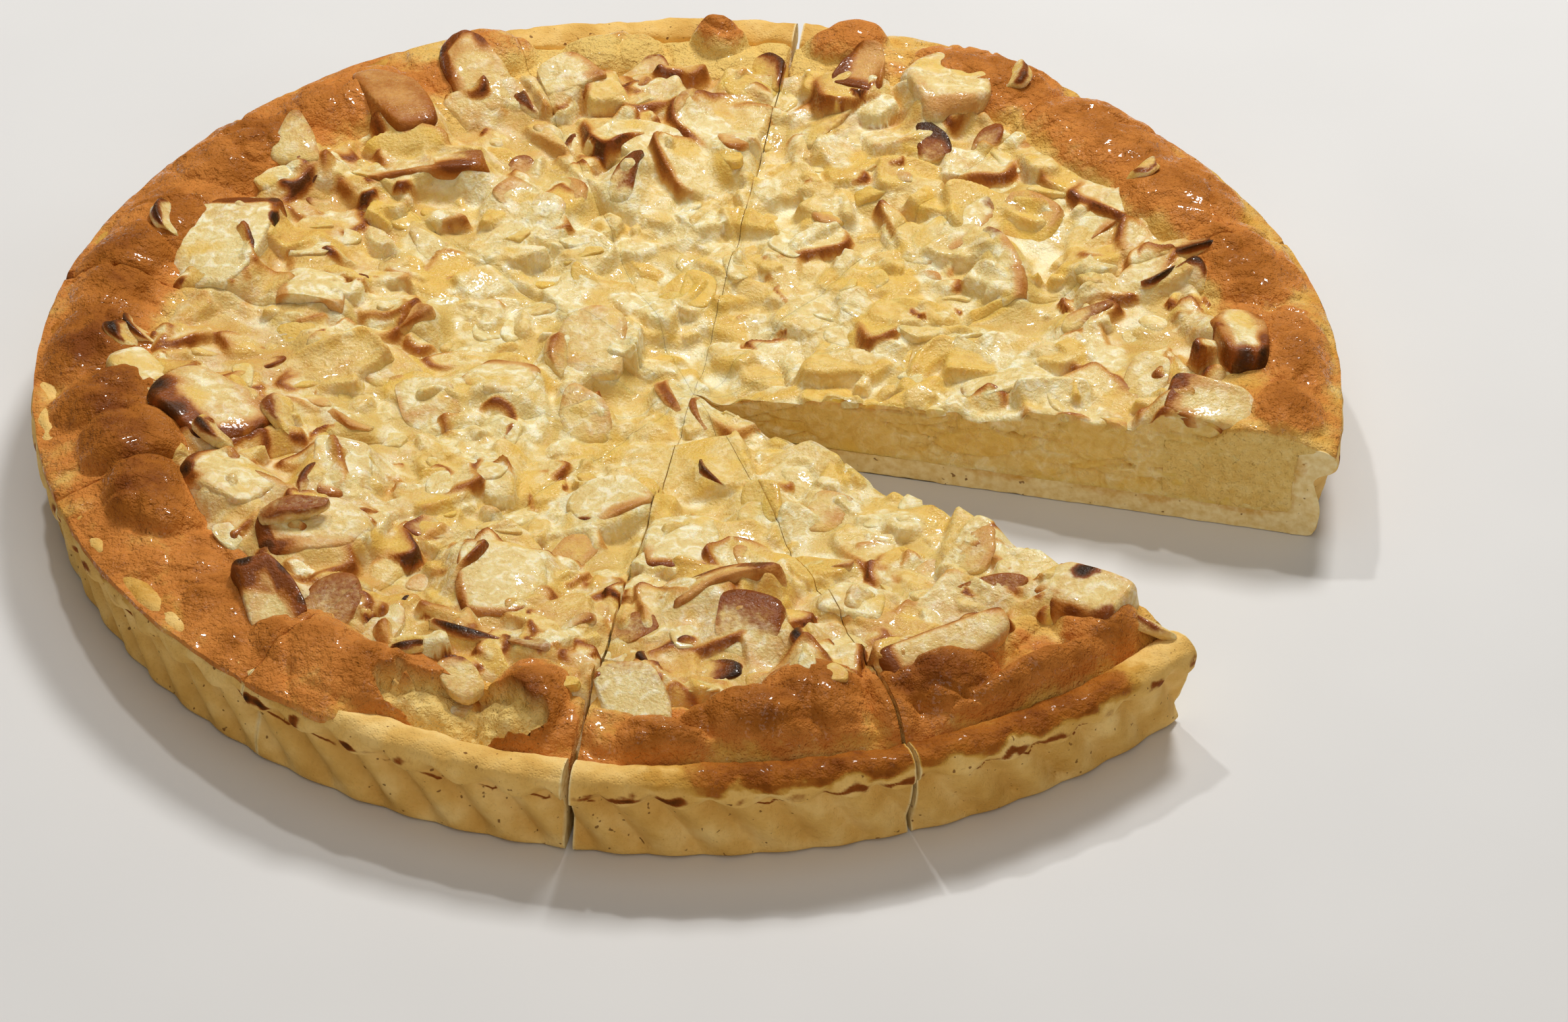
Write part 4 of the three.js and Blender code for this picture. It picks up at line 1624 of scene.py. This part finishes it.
# Rows of seven are flaps: x, y, width, turn, tone, bake and burn.
PLACED_PIECES: tuple[SmallPiece, ...] = tuple(
    SmallPiece.flap(*row) if len(row) == 7 else SmallPiece(*row) for row in (
    (-85, 69, (10, 7, 6), 60, 20, 0, Cut.BLOCK, 0.8, 0.2, 0.3, 0.8),
    (-89, 77, (18, 12, 6), 95, 12, 0, Cut.WEDGE, 0.8, 0.5, 0.25, 0.25),
    (-92, 66, (11, 9, 7), 20, 10, 0, Cut.BLOCK, 0.8, 0, 0.05, 0), (-115, 45, 14, -170, 0.4, 0.35, 0.9),
    (-75, 35, (14, 6, 5), -30, 15, 0, Cut.WEDGE, 0.9, 0.3, 0.2, 0.6),
    (-58, 48, (14, 9, 6), 130, 10, 0, Cut.WEDGE, 0.7, 0.2, 0.1, 0.1),
    (-64, 1, (17, 13, 8), 130, 10, 0, Cut.BLOCK, 0.9, 0.2, 0.15, 0),
    (-55, -10, (20, 15, 9), 105, 10, 0, Cut.SLAB, 1.1, 0, 0.12, 0.1),
    (-22, 15, (24, 18, 10), 80, 10, 4, Cut.BLOCK, 1.4, 0.25, 0.16, 0), (-28, 12, 20, 172, 0.5, 0.49, 0.3),
    (-23, -9, (19, 14, 9), 110, 10, 0, Cut.WEDGE, 1.4, 0.3, 0.2, 0.15),
    (-2, -1, 24, -158, 0.6, 0.56, 0.3), (3, -5, 18, -170, 0.6, 0.59, 0.35),
    (-78, -43, 12, 160, 0.5, 0.42, 0.85),
    (-79, -60, (16, 7, 5), 5, 10, 0, Cut.WEDGE, 2.9, 0.3, 0.25, 0.4),
    (-86, -21, 14, -170, 0.5, 0.35, 0.5), (-100, -31, 15, -150, 0.5, 0.49, 1),
    (-118, 8, 14, -145, 0.5, 0.56, 0.9), (-121, 4, 10, -170, 0.5, 0.42, 1),
    (-71, -85, (18, 15, 9), 70, 10, 0, Cut.BLOCK, 0.8, 0.4, 0.25, 0.35),
    (-60, -90, (14, 12, 8), 60, 10, 0, Cut.WEDGE, 0.8, 0.1, 0.15, 0), (-55, -84, 10, 165, 0.5, 0.42, 1),
    (-42, -94, 23, -112, 0.6, 0.56, 1), (-55, -101, 12, -75, 0.6, 0.56, 1),
    (-30, -97, (13, 10, 7), -40, 10, 0, Cut.WEDGE, 1.1, 0.1, 0.2, 0.3),
    (-9, -115, (25, 17, 8), 105, 12, -8, Cut.SLAB, -0.2, 0.15, 0.12, 0.2),
    (-6, -101, 9, -150, 0.3, 0.28, 0.9), (-9, -89, (12, 9, 7), 30, 10, 0, Cut.BLOCK, 1.1, 0.3, 0.3, 0.35),
    (14, -92, (20, 16, 6), 85, 14, 0, Cut.SLAB, 0.6, 0.25, 0.3, 0.5), (26, -98, 12, -150, 0.5, 0.42, 1),
    (30, -44, (16, 13, 8), 70, 10, 0, Cut.BLOCK, 1.1, 0.35, 0.22, 0), (6, -32, 14, -145, 0.4, 0.28, 0.8),
    (60, -63, (16, 13, 8), 65, 14, 0, Cut.WEDGE, 1.1, 0.4, 0.35, 0.1),
    (63, -77, (17, 8, 7), 10, 10, 20, Cut.BLOCK, 1.4, 0.7, 0.5, 0.35),
    (95, -87, 12, -130, 0.4, 0.35, 0.5), (101, 34, 14, -45, 0.5, 0.49, 1), (108, 34, 9, 70, 0.5, 0.49, 1),
    (86, 22, (16, 7, 6), 30, 10, 10, Cut.WEDGE, 1.1, 0.7, 0.3, 0.4),
    (97, 0, (17, 12, 8), 80, 10, 0, Cut.SLAB, 1.1, 0.3, 0.1, 0),
    (52, 86, (16, 10, 7), 110, 10, 0, Cut.WEDGE, 1.4, 0.5, 0.5, 0.9),
    (65, 87, (11, 7, 6), 60, 10, 0, Cut.BLOCK, 0.8, 0.5, 0.4, 0.45), (72, 105, 11, -10, 0.5, 0.35, 0.8),
    (99, 68, 9, -30, 0.5, 0.35, 0.8), (29, 93, (19, 8, 7), 45, 10, 0, Cut.WEDGE, 1.1, 0.15, 0.2, 0.2),
    (-2, 99, 19, 152, 0.5, 0.49, 0.25),
    (-15, 72, (17, 8, 7), 75, 10, 0, Cut.CRESCENT, 1.1, 0.3, 0.2, 0.6),
    (-37, 99, 14, -160, 0.4, 0.42, 0.7),
))


# --- filling


class Plan:
    """A square grid seen from above, for values that change over the pie.

    CELL is the width of its cells and REACH is half of its own, in millimetres.
    """

    CELL = 0.5
    REACH = 127

    def __init__(self) -> None:
        """Lay out the grid's cells."""
        line = np.arange(-self.REACH, self.REACH + self.CELL / 2, self.CELL)
        self.x, self.y = np.meshgrid(line, line, indexing="ij")

    def index(self, values: Array) -> Array:
        """Cell numbers, with fractions, of coordinates."""
        return np.clip((values + self.REACH) / self.CELL, 0, self.x.shape[0] - 1.001)

    def sample(self, values: Array, x: Array, y: Array) -> Array:
        """Values between cells.

        Args:
            values: One value for each cell.
            x: First coordinates, in millimetres.
            y: Second coordinates.

        Returns:
            One value for each point.
        """
        column, row = self.index(x), self.index(y)
        left, low = column.astype(int), row.astype(int)
        right = column - left
        near = lerp(values[left, low], values[left + 1, low], right)
        far = lerp(values[left, low + 1], values[left + 1, low + 1], right)
        return lerp(near, far, row - low)

    @staticmethod
    def soften(values: Array, passes: int) -> Array:
        """Blur values; each pass spreads them a little further."""
        for _ in range(passes):
            for axis in (0, 1):
                values = (np.roll(values, 1, axis) + 2 * values + np.roll(values, -1, axis)) / 4
        return values

    @staticmethod
    def widen(values: Array, passes: int) -> Array:
        """Let the highest values take over the cells next to them."""
        for _ in range(passes):
            for axis in (0, 1):
                beside = np.maximum(np.roll(values, 1, axis), np.roll(values, -1, axis))
                values = np.maximum(values, beside)
        return values


@dataclass
class Relief:
    """The surface of the filling: soft pieces of apple, half sunk in custard.

    Attributes:
        form: The pie's sizes.
        oven: The browning.
        noise: The unevenness of the pieces.
        random: The seeded source of chance.
        plan: The grid that it is worked out on.

    COUNT pieces make the surface; EXTRA smaller ones follow where the custard has climbed.
    """

    form: PieForm
    oven: Oven
    noise: Noise = seeded(51)
    random: np.random.Generator = field(default_factory=lambda: np.random.default_rng(17))
    plan: Plan = field(default_factory=Plan)

    COUNT = 700
    EXTRA = 420

    def __post_init__(self) -> None:
        """Lay custard, strew apple over it and soften the whole."""
        x, y = self.plan.x, self.plan.y
        self.height = self.form.custard(x, y) - 1
        self.flesh, self.tone, self.bake = (np.zeros_like(x) for _ in range(3))
        self.warps = [0.10 * self.noise.layered(x, y, 9 * axis, 7, 3) for axis in range(2)]
        self.base = self.form.dish(x, y)
        for _ in range(self.COUNT):
            self.strew(1)
        middle = smoothstep(62, 18, np.hypot(x, y))
        melted = self.plan.soften(self.height, 7)
        self.height = lerp(self.plan.soften(self.height, 1), melted, 0.55 * middle)
        self.height = self.height + 0.14 * self.noise.layered(x, y, 4, 2.2, 2)
        proud = self.height - self.plan.soften(self.height, 20)
        ring = self.oven.filling(x, y)
        patch = smoothstep(0, 0.5, self.noise.layered(x, y, 70, 12, 2))
        toasted = smoothstep(0.6, 1.6, proud) * (0.16 + 2.1 * ring) * patch
        self.bake = self.plan.soften(self.bake, 1) + 0.55 * ring + 0.6 * toasted
        self.flesh, self.tone = (self.plan.soften(values, 1) for values in (self.flesh, self.tone))

    def strew(self, scale: float) -> None:
        """Press one more piece of apple into the surface, at a share of the usual size."""
        rng, plan = self.random, self.plan
        x0, y0 = strewn(rng, 0, 121)
        length = scale * float(np.clip(rng.lognormal(2.66, 0.34), 7, 28))
        half = length / 2, length / 2 * rng.uniform(0.38, 0.85)
        turn = 2 * math.pi * rng.random()
        slope = rng.normal(0, 0.17, 2) * (0.8 if math.hypot(x0, y0) < 50 else 1)
        lift, thick = rng.uniform(-1.7, 0.6), rng.uniform(1.8, 3.6)
        power = rng.uniform(2.6, 9)
        corners = tuple((float(rng.uniform(0, 360)), float(rng.uniform(0.5, 1))) for _ in range(3))
        outline = Outline(power, corners)
        tone = float(smoothstep(0.1, 0.8, rng.beta(1.1, 1.8)))
        browned = rng.random() < 0.12 + 1.4 * self.oven.filling_at(x0, y0)
        toast = rng.uniform(0.6, 1.5) if browned else 0
        reach = int((max(half) + 1.5) / plan.CELL)
        column, row = int(plan.index(np.array(x0))), int(plan.index(np.array(y0)))
        window = tuple(slice(max(at - reach, 0), at + reach) for at in (column, row))
        dx, dy = plan.x[window] - x0, plan.y[window] - y0
        warp = [values[window] for values in self.warps]
        u, v = in_piece(dx, dy, turn, half, warp)
        rho = np.hypot(u, v) * outline.spread(np.arctan2(v, u))
        inset = (1 - rho) * np.hypot(dx, dy) / np.maximum(rho, 0.05)
        inset = np.where(rho < 0.05, min(half), inset)
        plane = self.base[column, row] + lift + slope[0] * dx + slope[1] * dy + 0.35 * (1 - rho**2)
        level = plane - thick * (1 - smoothstep(-0.1, 0.9, inset))
        current = self.height[window]
        wins = (level > current) & (inset > 0)
        uphill = (slope[0] * dx + slope[1] * dy) / (np.hypot(*slope) * max(half) + 1e-6)
        rim = smoothstep(3.4, 0.2, inset) * smoothstep(-0.1, 0.6, uphill)
        self.height[window] = np.where(wins, level, current)
        self.flesh[window] = np.where(wins, 1, self.flesh[window])
        self.tone[window] = np.where(wins, tone, self.tone[window])
        self.bake[window] = np.where(wins, toast * rim, self.bake[window])

    def lid(self, tops: list[Array]) -> Array:
        """Heights of pieces given by their upper corners, and 0 where there is none."""
        places = np.concatenate(tops)
        cell = tuple(self.plan.index(places[:, axis]).round().astype(int) for axis in (0, 1))
        lid = np.zeros_like(self.height)
        np.maximum.at(lid, cell, places[:, 2])
        return self.plan.widen(lid, 1)

    def with_pieces(self, tops: list[Array]) -> Array:
        """The surface's heights with those of pieces that stand on it, given by their upper corners."""
        return np.maximum(self.height, self.plan.soften(np.maximum(self.height, self.lid(tops)), 1))

    def climb(self, tops: list[Array]) -> None:
        """Let the custard climb around pieces that stand on it.

        Args:
            tops: Upper corners of the pieces, in millimetres.
        """
        lid = self.lid(tops)
        rise = self.plan.widen(np.clip(lid - self.height, 0, 6) * (lid > 0), 2)
        uneven = 0.72 + 0.28 * self.noise.layered(self.plan.x, self.plan.y, 81, 9, 2)
        self.height = self.height + uneven * self.plan.soften(rise, 14)
        self.base = self.plan.soften(self.height, 12) + 0.4
        shows = self.plan.soften((lid > self.height - 0.5).astype(float), 4)
        over = self.plan.widen(lid, 3) - 0.7
        for _ in range(self.EXTRA):
            self.strew(0.62)
        self.height = lerp(self.height, np.minimum(self.height, np.maximum(over, self.base - 1)), shows)
        # Painted shade: the hollows between pieces are browned darker, more so near the rim; this rides in
        # bake beside the real browning.
        hollow = smoothstep(0.1, 1.3, self.plan.soften(self.height, 8) - self.height)
        self.bake = self.bake + 0.20 * hollow * (0.5 + 1.6 * self.oven.filling(self.plan.x, self.plan.y))


@dataclass
class Filling(PiePart):
    """The filling of each slice, cut out of the relief.

    Attributes:
        relief: Its surface.
        noise: The unevenness of its cut faces.

    OUTER is its radius under the batter, in millimetres. Each cut face shows CUT_PIECES of apple.
    """

    relief: Relief
    noise: Noise = seeded(61)

    SLOT, PREFIX = Slot.FILLING, "wet"
    OUTER = 124
    CUT_PIECES = 46
    # The last of them, listed here: distance from the apex, height, half length, half thickness.
    BLOCKS = ((34, 10.5, 12, 6), (62, 12, 9, 3.4), (87, 16.5, 8, 5.6))

    def layers(self, along: Array, z: Array, seed: int) -> tuple[Array, Array]:
        """The cut apple that a face shows.

        Args:
            along: Distance of points from the slice's apex, in millimetres.
            z: Their heights.
            seed: Which face.

        Returns:
            How deep each point lies behind the face, and its tone from cream to amber.
        """
        rng = np.random.default_rng(seed)
        depth = 0.8 + 0.45 * self.noise.layered(along, z, 3 * seed, 4, 3)
        tone = 0.72 + 0.3 * self.noise.layered(along, 2.5 * z, seed, 9, 2)
        warp = [0.26 * self.noise.layered(along, z, 40 + 9 * axis, 6, 3) for axis in range(2)]
        for index in range(self.CUT_PIECES):
            place = rng.uniform(6, 116)
            ceiling = 12 + 9 * place / 110
            height = rng.uniform(6.8, ceiling)
            half = rng.uniform(4, 12), rng.uniform(1.2, 2.8)
            tilt = rng.normal(0, 0.15)
            if index >= self.CUT_PIECES - len(self.BLOCKS):
                place, height, *half = self.BLOCKS[index - self.CUT_PIECES]
            u, v = in_piece(along - place, z - height, tilt, half, warp)
            rho = (np.abs(u) ** 2.4 + np.abs(v) ** 2.4) ** (1 / 2.4)
            inside = smoothstep(1.03, 0.85, rho)
            depth = lerp(depth, rng.uniform(0.1, 0.6), inside)
            depth = depth + 0.4 * smoothstep(0.14, 0, np.abs(rho - 1.02))
            tone = lerp(tone, 0.3 + 0.7 * float(rng.beta(1.6, 1.3)), inside)
        return lerp(0.25, depth, smoothstep(5.2, 7.5, z)), np.clip(tone, 0, 1)

    def build(self, number: int, grid: Mesh, finish: Finish) -> Piece:
        """Build the filling of one slice, as PiePart.build says."""
        sector = self.knife.sector(number)
        shell = Shell.from_grid(grid)
        x, y = sector.at(shell.around, self.OUTER * shell.across)
        relief, plan = self.relief, self.relief.plan
        top = plan.sample(relief.height, x, y) - sector.crease(x, y)
        top = top - 6 * smoothstep(112, 119, np.hypot(x, y))
        z = lerp(self.form.floor - 0.1, top, shell.up)
        under = smoothstep(0.8, 1, shell.up)
        # bake holds the real browning and also the painted shade of the relief's hollows.
        flesh, tone, bake = (plan.sample(values, x, y) * under
                             for values in (relief.flesh, relief.tone, relief.bake))
        for second, shown in enumerate(self.knife.exposed(number)):
            if shown:
                along = np.hypot(x - sector.apex[0], y - sector.apex[1])
                depth, face_tone = self.layers(along, z, 3 + second)
                face = shell.face(bool(second)) & (shell.up < 0.999)
                tone = np.where(face, face_tone, tone)
                flesh = np.where(face, 1, flesh)
                bake = np.where(face, 0, bake)
                x, y = shell.sink(sector, (not second, bool(second)), x, y, depth)
        shell.bend(x, y, z)
        set_attributes(shell.mesh, {"bake": bake, "flesh": flesh, "tone": tone})
        return self.publish(shell.mesh, number, finish)


@dataclass
class AppleBits(PiePart):
    """The smaller pieces of apple that stand out of the filling, joined by slice.

    Attributes:
        maker: What shapes them.
        relief: What they lie on.
        batter: What those near the rim lie on.
        count: How many places are tried.
        random: The seeded source of chance.
        points: Tops of the pieces, in millimetres, for the custard to rise to.
        ground: Height of the filling and the large pieces, on the relief's grid.
        lid: How high a loose piece may reach, on the same grid: under the large pieces.

    Each kind of cut comes in VARIANTS shapes.
    """

    maker: ChunkMaker
    relief: Relief
    batter: Batter
    count: int = 560
    random: np.random.Generator = field(default_factory=lambda: np.random.default_rng(7))
    points: list[Array] = field(default_factory=list)
    ground: Array = field(init=False)
    lid: Array = field(init=False)

    VARIANTS = 7

    def scatter(self) -> list[SmallPiece]:
        """Strew small pieces over the filling, none on a large one."""
        rng = self.random
        kept = np.array([(piece.x, piece.y, 0.42 * max(piece.size)) for piece in PLACED_PIECES])
        plan = self.relief.plan
        taken = plan.widen((self.ground - self.relief.height > 0.4).astype(float), 8)
        pieces: list[SmallPiece] = []
        kinds = [Cut.BLOCK, Cut.WEDGE, Cut.SLAB, Cut.CRESCENT]
        for _ in range(self.count):
            x, y = strewn(rng, 24, 117)
            length = float(np.clip(rng.lognormal(2.42, 0.3), 7, 20))
            near = np.min(np.hypot(kept[:, 0] - x, kept[:, 1] - y) - kept[:, 2]) < 0.3 * length
            if near or plan.sample(taken, np.array(x), np.array(y)) > 0:
                continue
            kept = np.vstack([kept, (x, y, 2)])
            width = length * rng.uniform(0.5, 0.9)
            browned = self.oven.filling_at(x, y)
            strong = rng.random() < 0.14 + browned
            pieces.append(SmallPiece(
                x, y, (length, width, max(width * rng.uniform(0.28, 0.5), 2.6)), 360 * rng.random(),
                rng.uniform(3, 20), rng.normal(0, 9), kinds[rng.integers(len(kinds))],
                rng.uniform(-1, 0.1), float(smoothstep(0.1, 0.8, rng.beta(1.2, 2.2))),
                0.4 * browned + (0.38 if strong else 0.03), 3.4 * rng.random() * strong * browned))
        return pieces

    def gather(self, finish: AppleFlesh, crowded: list[Array]) -> None:
        """Shape every small piece and join them by slice.

        Args:
            finish: Their finish.
            crowded: Tops of the large pieces, in millimetres.
        """
        self.ground = self.relief.with_pieces(crowded)
        self.lid = np.where(self.ground - self.relief.height > 0.8, self.ground - 0.9, self.form.top)
        grid = box_grid((11, 8, 4))
        block = coordinates(grid) * 2
        faces = np.array([list(p.vertices) for p in grid.polygons])
        bpy.data.meshes.remove(grid)
        shapes = {cut: [self.maker.shape(block, cut.value, 50 + 7.3 * index)
                        for index in range(self.VARIANTS)] for cut in Cut}
        sectors = self.knife.sectors()
        baskets: list[list[tuple[Array, Values]]] = [[] for _ in sectors]
        for index, piece in enumerate((*PLACED_PIECES, *self.scatter())):
            loose = index >= len(PLACED_PIECES)
            place, values = self.shape_one(piece, block, shapes[piece.cut][index % self.VARIANTS], loose)
            self.points.append(place[block[:, 2] > 0])
            for basket, sector in zip(baskets, sectors):
                if sector.depth(place[:, 0], place[:, 1]).max() > 0.5:
                    basket.append((place, values))
        for number, basket in enumerate(baskets):
            self.join(number, basket, faces, sectors[number], finish)

    def height_at(self, x: float, y: float) -> float:
        """Height of whatever already lies at a point, in millimetres."""
        spot = np.array(x), np.array(y)
        ground = float(max(self.relief.plan.sample(self.ground, *spot), self.batter.surface(*spot)))
        laid = np.concatenate(self.points) if self.points else np.zeros((0, 3))
        close = laid[np.hypot(laid[:, 0] - x, laid[:, 1] - y) < 1.8]
        return float(np.clip(close[:, 2].max(initial=ground), ground, ground + 3))

    def shape_one(self, piece: SmallPiece, block: Array, template: tuple[Array, Array],
                  loose: bool) -> tuple[Array, Values]:
        """Place one small piece.

        Args:
            piece: Which piece.
            block: The corners of its block, from -1 to 1.
            template: The same corners, bent, and how close each is to an edge.
            loose: Whether it lies where it fell, under the large pieces.

        Returns:
            Its corners in millimetres, and its values by name.
        """
        half = np.array(piece.size) / 2
        turned = pose(piece.turn, piece.tip, piece.roll)
        ground = self.height_at(piece.x, piece.y)
        bent, edge = template
        place = bent * half @ turned.T + np.array([piece.x, piece.y, ground + piece.lift - 0.45 * half[2]])
        place[:, 2] = self.form.hold(place[:, 2])
        if loose:
            lid = self.relief.plan.sample(self.lid, place[:, 0], place[:, 1])
            place[:, 2] = np.minimum(place[:, 2], lid)
        noise = self.maker.noise
        rim = np.maximum(0.8 * rim_of(block, half, 2.6), 0.5 * edge * (block[:, 2] > -0.3))
        patch = smoothstep(-0.5, 0.4, noise.layered(*place.T, 6, 2))
        proud = place[:, 2] - ground + 0.8 * noise.layered(*place.T, 3, 2)
        high = smoothstep(-0.3, 2.6, proud)
        bake = piece.bake * (0.3 + 0.5 * high) + (0.2 + 1.1 * piece.bake) * rim * patch * high
        burn = piece.burn * smoothstep(0.3, 3.6, proud + 1.1 * rim)
        tone = np.clip(piece.tone + 0.25 * noise.layered(*place.T, 7, 2), 0, 1)
        return place, {"bake": bake, "burn": burn, "tone": tone}

    def join(self, number: int, basket: list[tuple[Array, Values]], faces: Array,
             sector: Sector, finish: AppleFlesh) -> None:
        """Join the small pieces of a slice into one mesh, trimmed by the knife.

        Args:
            number: Which slice, from 0.
            basket: Corners and values of its pieces.
            faces: The faces that each piece has.
            sector: The slice's plan.
            finish: Their finish.
        """
        places = np.concatenate([place for place, _ in basket])
        each = len(basket[0][0])
        all_faces = np.concatenate([faces + each * index for index in range(len(basket))])
        mesh = bpy.data.meshes.new("bits")
        mesh.from_pydata(places * MM, [], all_faces.tolist())
        set_attributes(mesh, {name: np.concatenate([values[name] for _, values in basket])
                              for name in ("bake", "burn", "tone")})
        cut_to_sector(mesh, sector)
        publish(mesh, f"apple_bits_{number + 1:02d}", finish.material)


# --- studio


@dataclass(frozen=True)
class Studio:
    """A plain white table, soft light from behind and above, and the camera.

    Attributes:
        elevation: How far the camera looks down, in degrees.
        distance: From the camera to what it looks at, in millimetres.
        target: What it looks at, on the table.
        roll: How far it leans, in degrees.
        lens: Focal length on a 36 mm wide film, in millimetres.
    """

    elevation: float = 37.05
    distance: float = 1488.7
    target: tuple[float, float] = (20.7, -19.9)
    roll: float = 0.83
    lens: float = 160.76

    def camera(self) -> None:
        """Create the camera and make it the scene's."""
        data = bpy.data.cameras.new("camera")
        data.lens = self.lens
        data.sensor_width = 36
        data.clip_start = 0.05
        data.clip_end = 20
        camera = show("camera", data)
        down = math.radians(self.elevation)
        place = Vector((self.target[0], self.target[1] - self.distance * math.cos(down),
                        self.distance * math.sin(down))) * MM
        tilt = Matrix.Rotation(math.pi / 2 - down, 4, "X")
        lean = Matrix.Rotation(math.radians(self.roll), 4, "Z")
        camera.matrix_world = Matrix.Translation(place) @ tilt @ lean
        bpy.context.scene.camera = camera

    @staticmethod
    def lamp(name: str, place: tuple[float, float, float], size: float, power: float, colour: Rgb) -> None:
        """Add a square soft light that faces the pie.

        Args:
            name: Its name.
            place: Where it stands, in metres.
            size: Width of its face, in metres.
            power: Its power, in watts.
            colour: Its colour.
        """
        data = bpy.data.lights.new(name, "AREA")
        data.size = size
        data.energy = power
        data.color = colour
        lamp = show(name, data)
        lamp.location = place
        lamp.rotation_euler = (-Vector(place)).to_track_quat("-Z", "Y").to_euler()

    def light(self) -> None:
        """Hang the lights and set the surroundings."""
        self.lamp("key", (0.32, 0.82, 1.15), 0.30, 13.6, (1, 0.995, 0.98))
        self.lamp("spark", (-0.30, 0.70, 1.15), 0.06, 4.5, (1, 0.99, 0.97))
        self.lamp("sky", (0, -0.35, 1.80), 1.6, 5.8, (1, 0.97, 0.92))
        self.lamp("front", (0.2, -1.4, 0.9), 1.2, 5.9, (1, 0.89, 0.74))
        world = bpy.data.worlds.new("world")
        world.use_nodes = True
        world.node_tree.nodes["Background"].inputs["Color"].default_value = (1, 0.96, 0.90, 1)
        world.node_tree.nodes["Background"].inputs["Strength"].default_value = 0.10
        bpy.context.scene.world = world
        bpy.context.scene.view_settings.view_transform = "Standard"

    @staticmethod
    def table(finish: TableTop) -> None:
        """Lay the table under the pie."""
        bm = bmesh.new()
        bmesh.ops.create_grid(bm, x_segments=2, y_segments=2, size=4)
        mesh = bpy.data.meshes.new("table")
        bm.to_mesh(mesh)
        bm.free()
        mesh.materials.append(finish.material)
        table = show("table", mesh)
        table.location = (0, 0, -0.0002)
        table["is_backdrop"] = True

    def set_up(self, finish: TableTop) -> None:
        """Prepare camera, light and table."""
        self.camera()
        self.light()
        self.table(finish)


# --- main


def main() -> None:
    """Build the pie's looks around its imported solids."""
    logging.basicConfig(level=logging.INFO, format="%(message)s")
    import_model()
    form = PieForm.from_frame()
    knife = Knife(rim_radius=form.rim_radius)
    # Soft apple closes up again behind the knife.
    sticky = Knife(gap=0.06, opened={3: 0.3, 9: 0.8, 10: 0.3}, rim_radius=form.rim_radius)
    oven, effects, maker = Oven(), Effects(), ChunkMaker()
    flesh = AppleFlesh("apple_flesh", effects)
    Studio().set_up(TableTop("table_top", effects))
    Crust(form, knife, oven).build_all(ShortCrust("short_crust", effects), (78, 132, 2), (130, 132, 8))
    batter = Batter(form, knife, oven)
    batter.build_all(BakedBatter("baked_batter", effects), (64, 120, 2), (64, 120, 22))
    apples = Apples(form, sticky, oven, maker)
    apples.carve(flesh)
    relief = Relief(form, oven)
    bits = AppleBits(form, sticky, oven, maker, relief, batter)
    bits.gather(flesh, apples.points)
    relief.climb([*apples.points, *bits.points])
    filling = Filling(form, sticky, oven, relief)
    filling.build_all(WetFilling("wet_filling", effects), (220, 116, 2), (230, 116, 36), True)


if __name__ == "__main__":
    main()
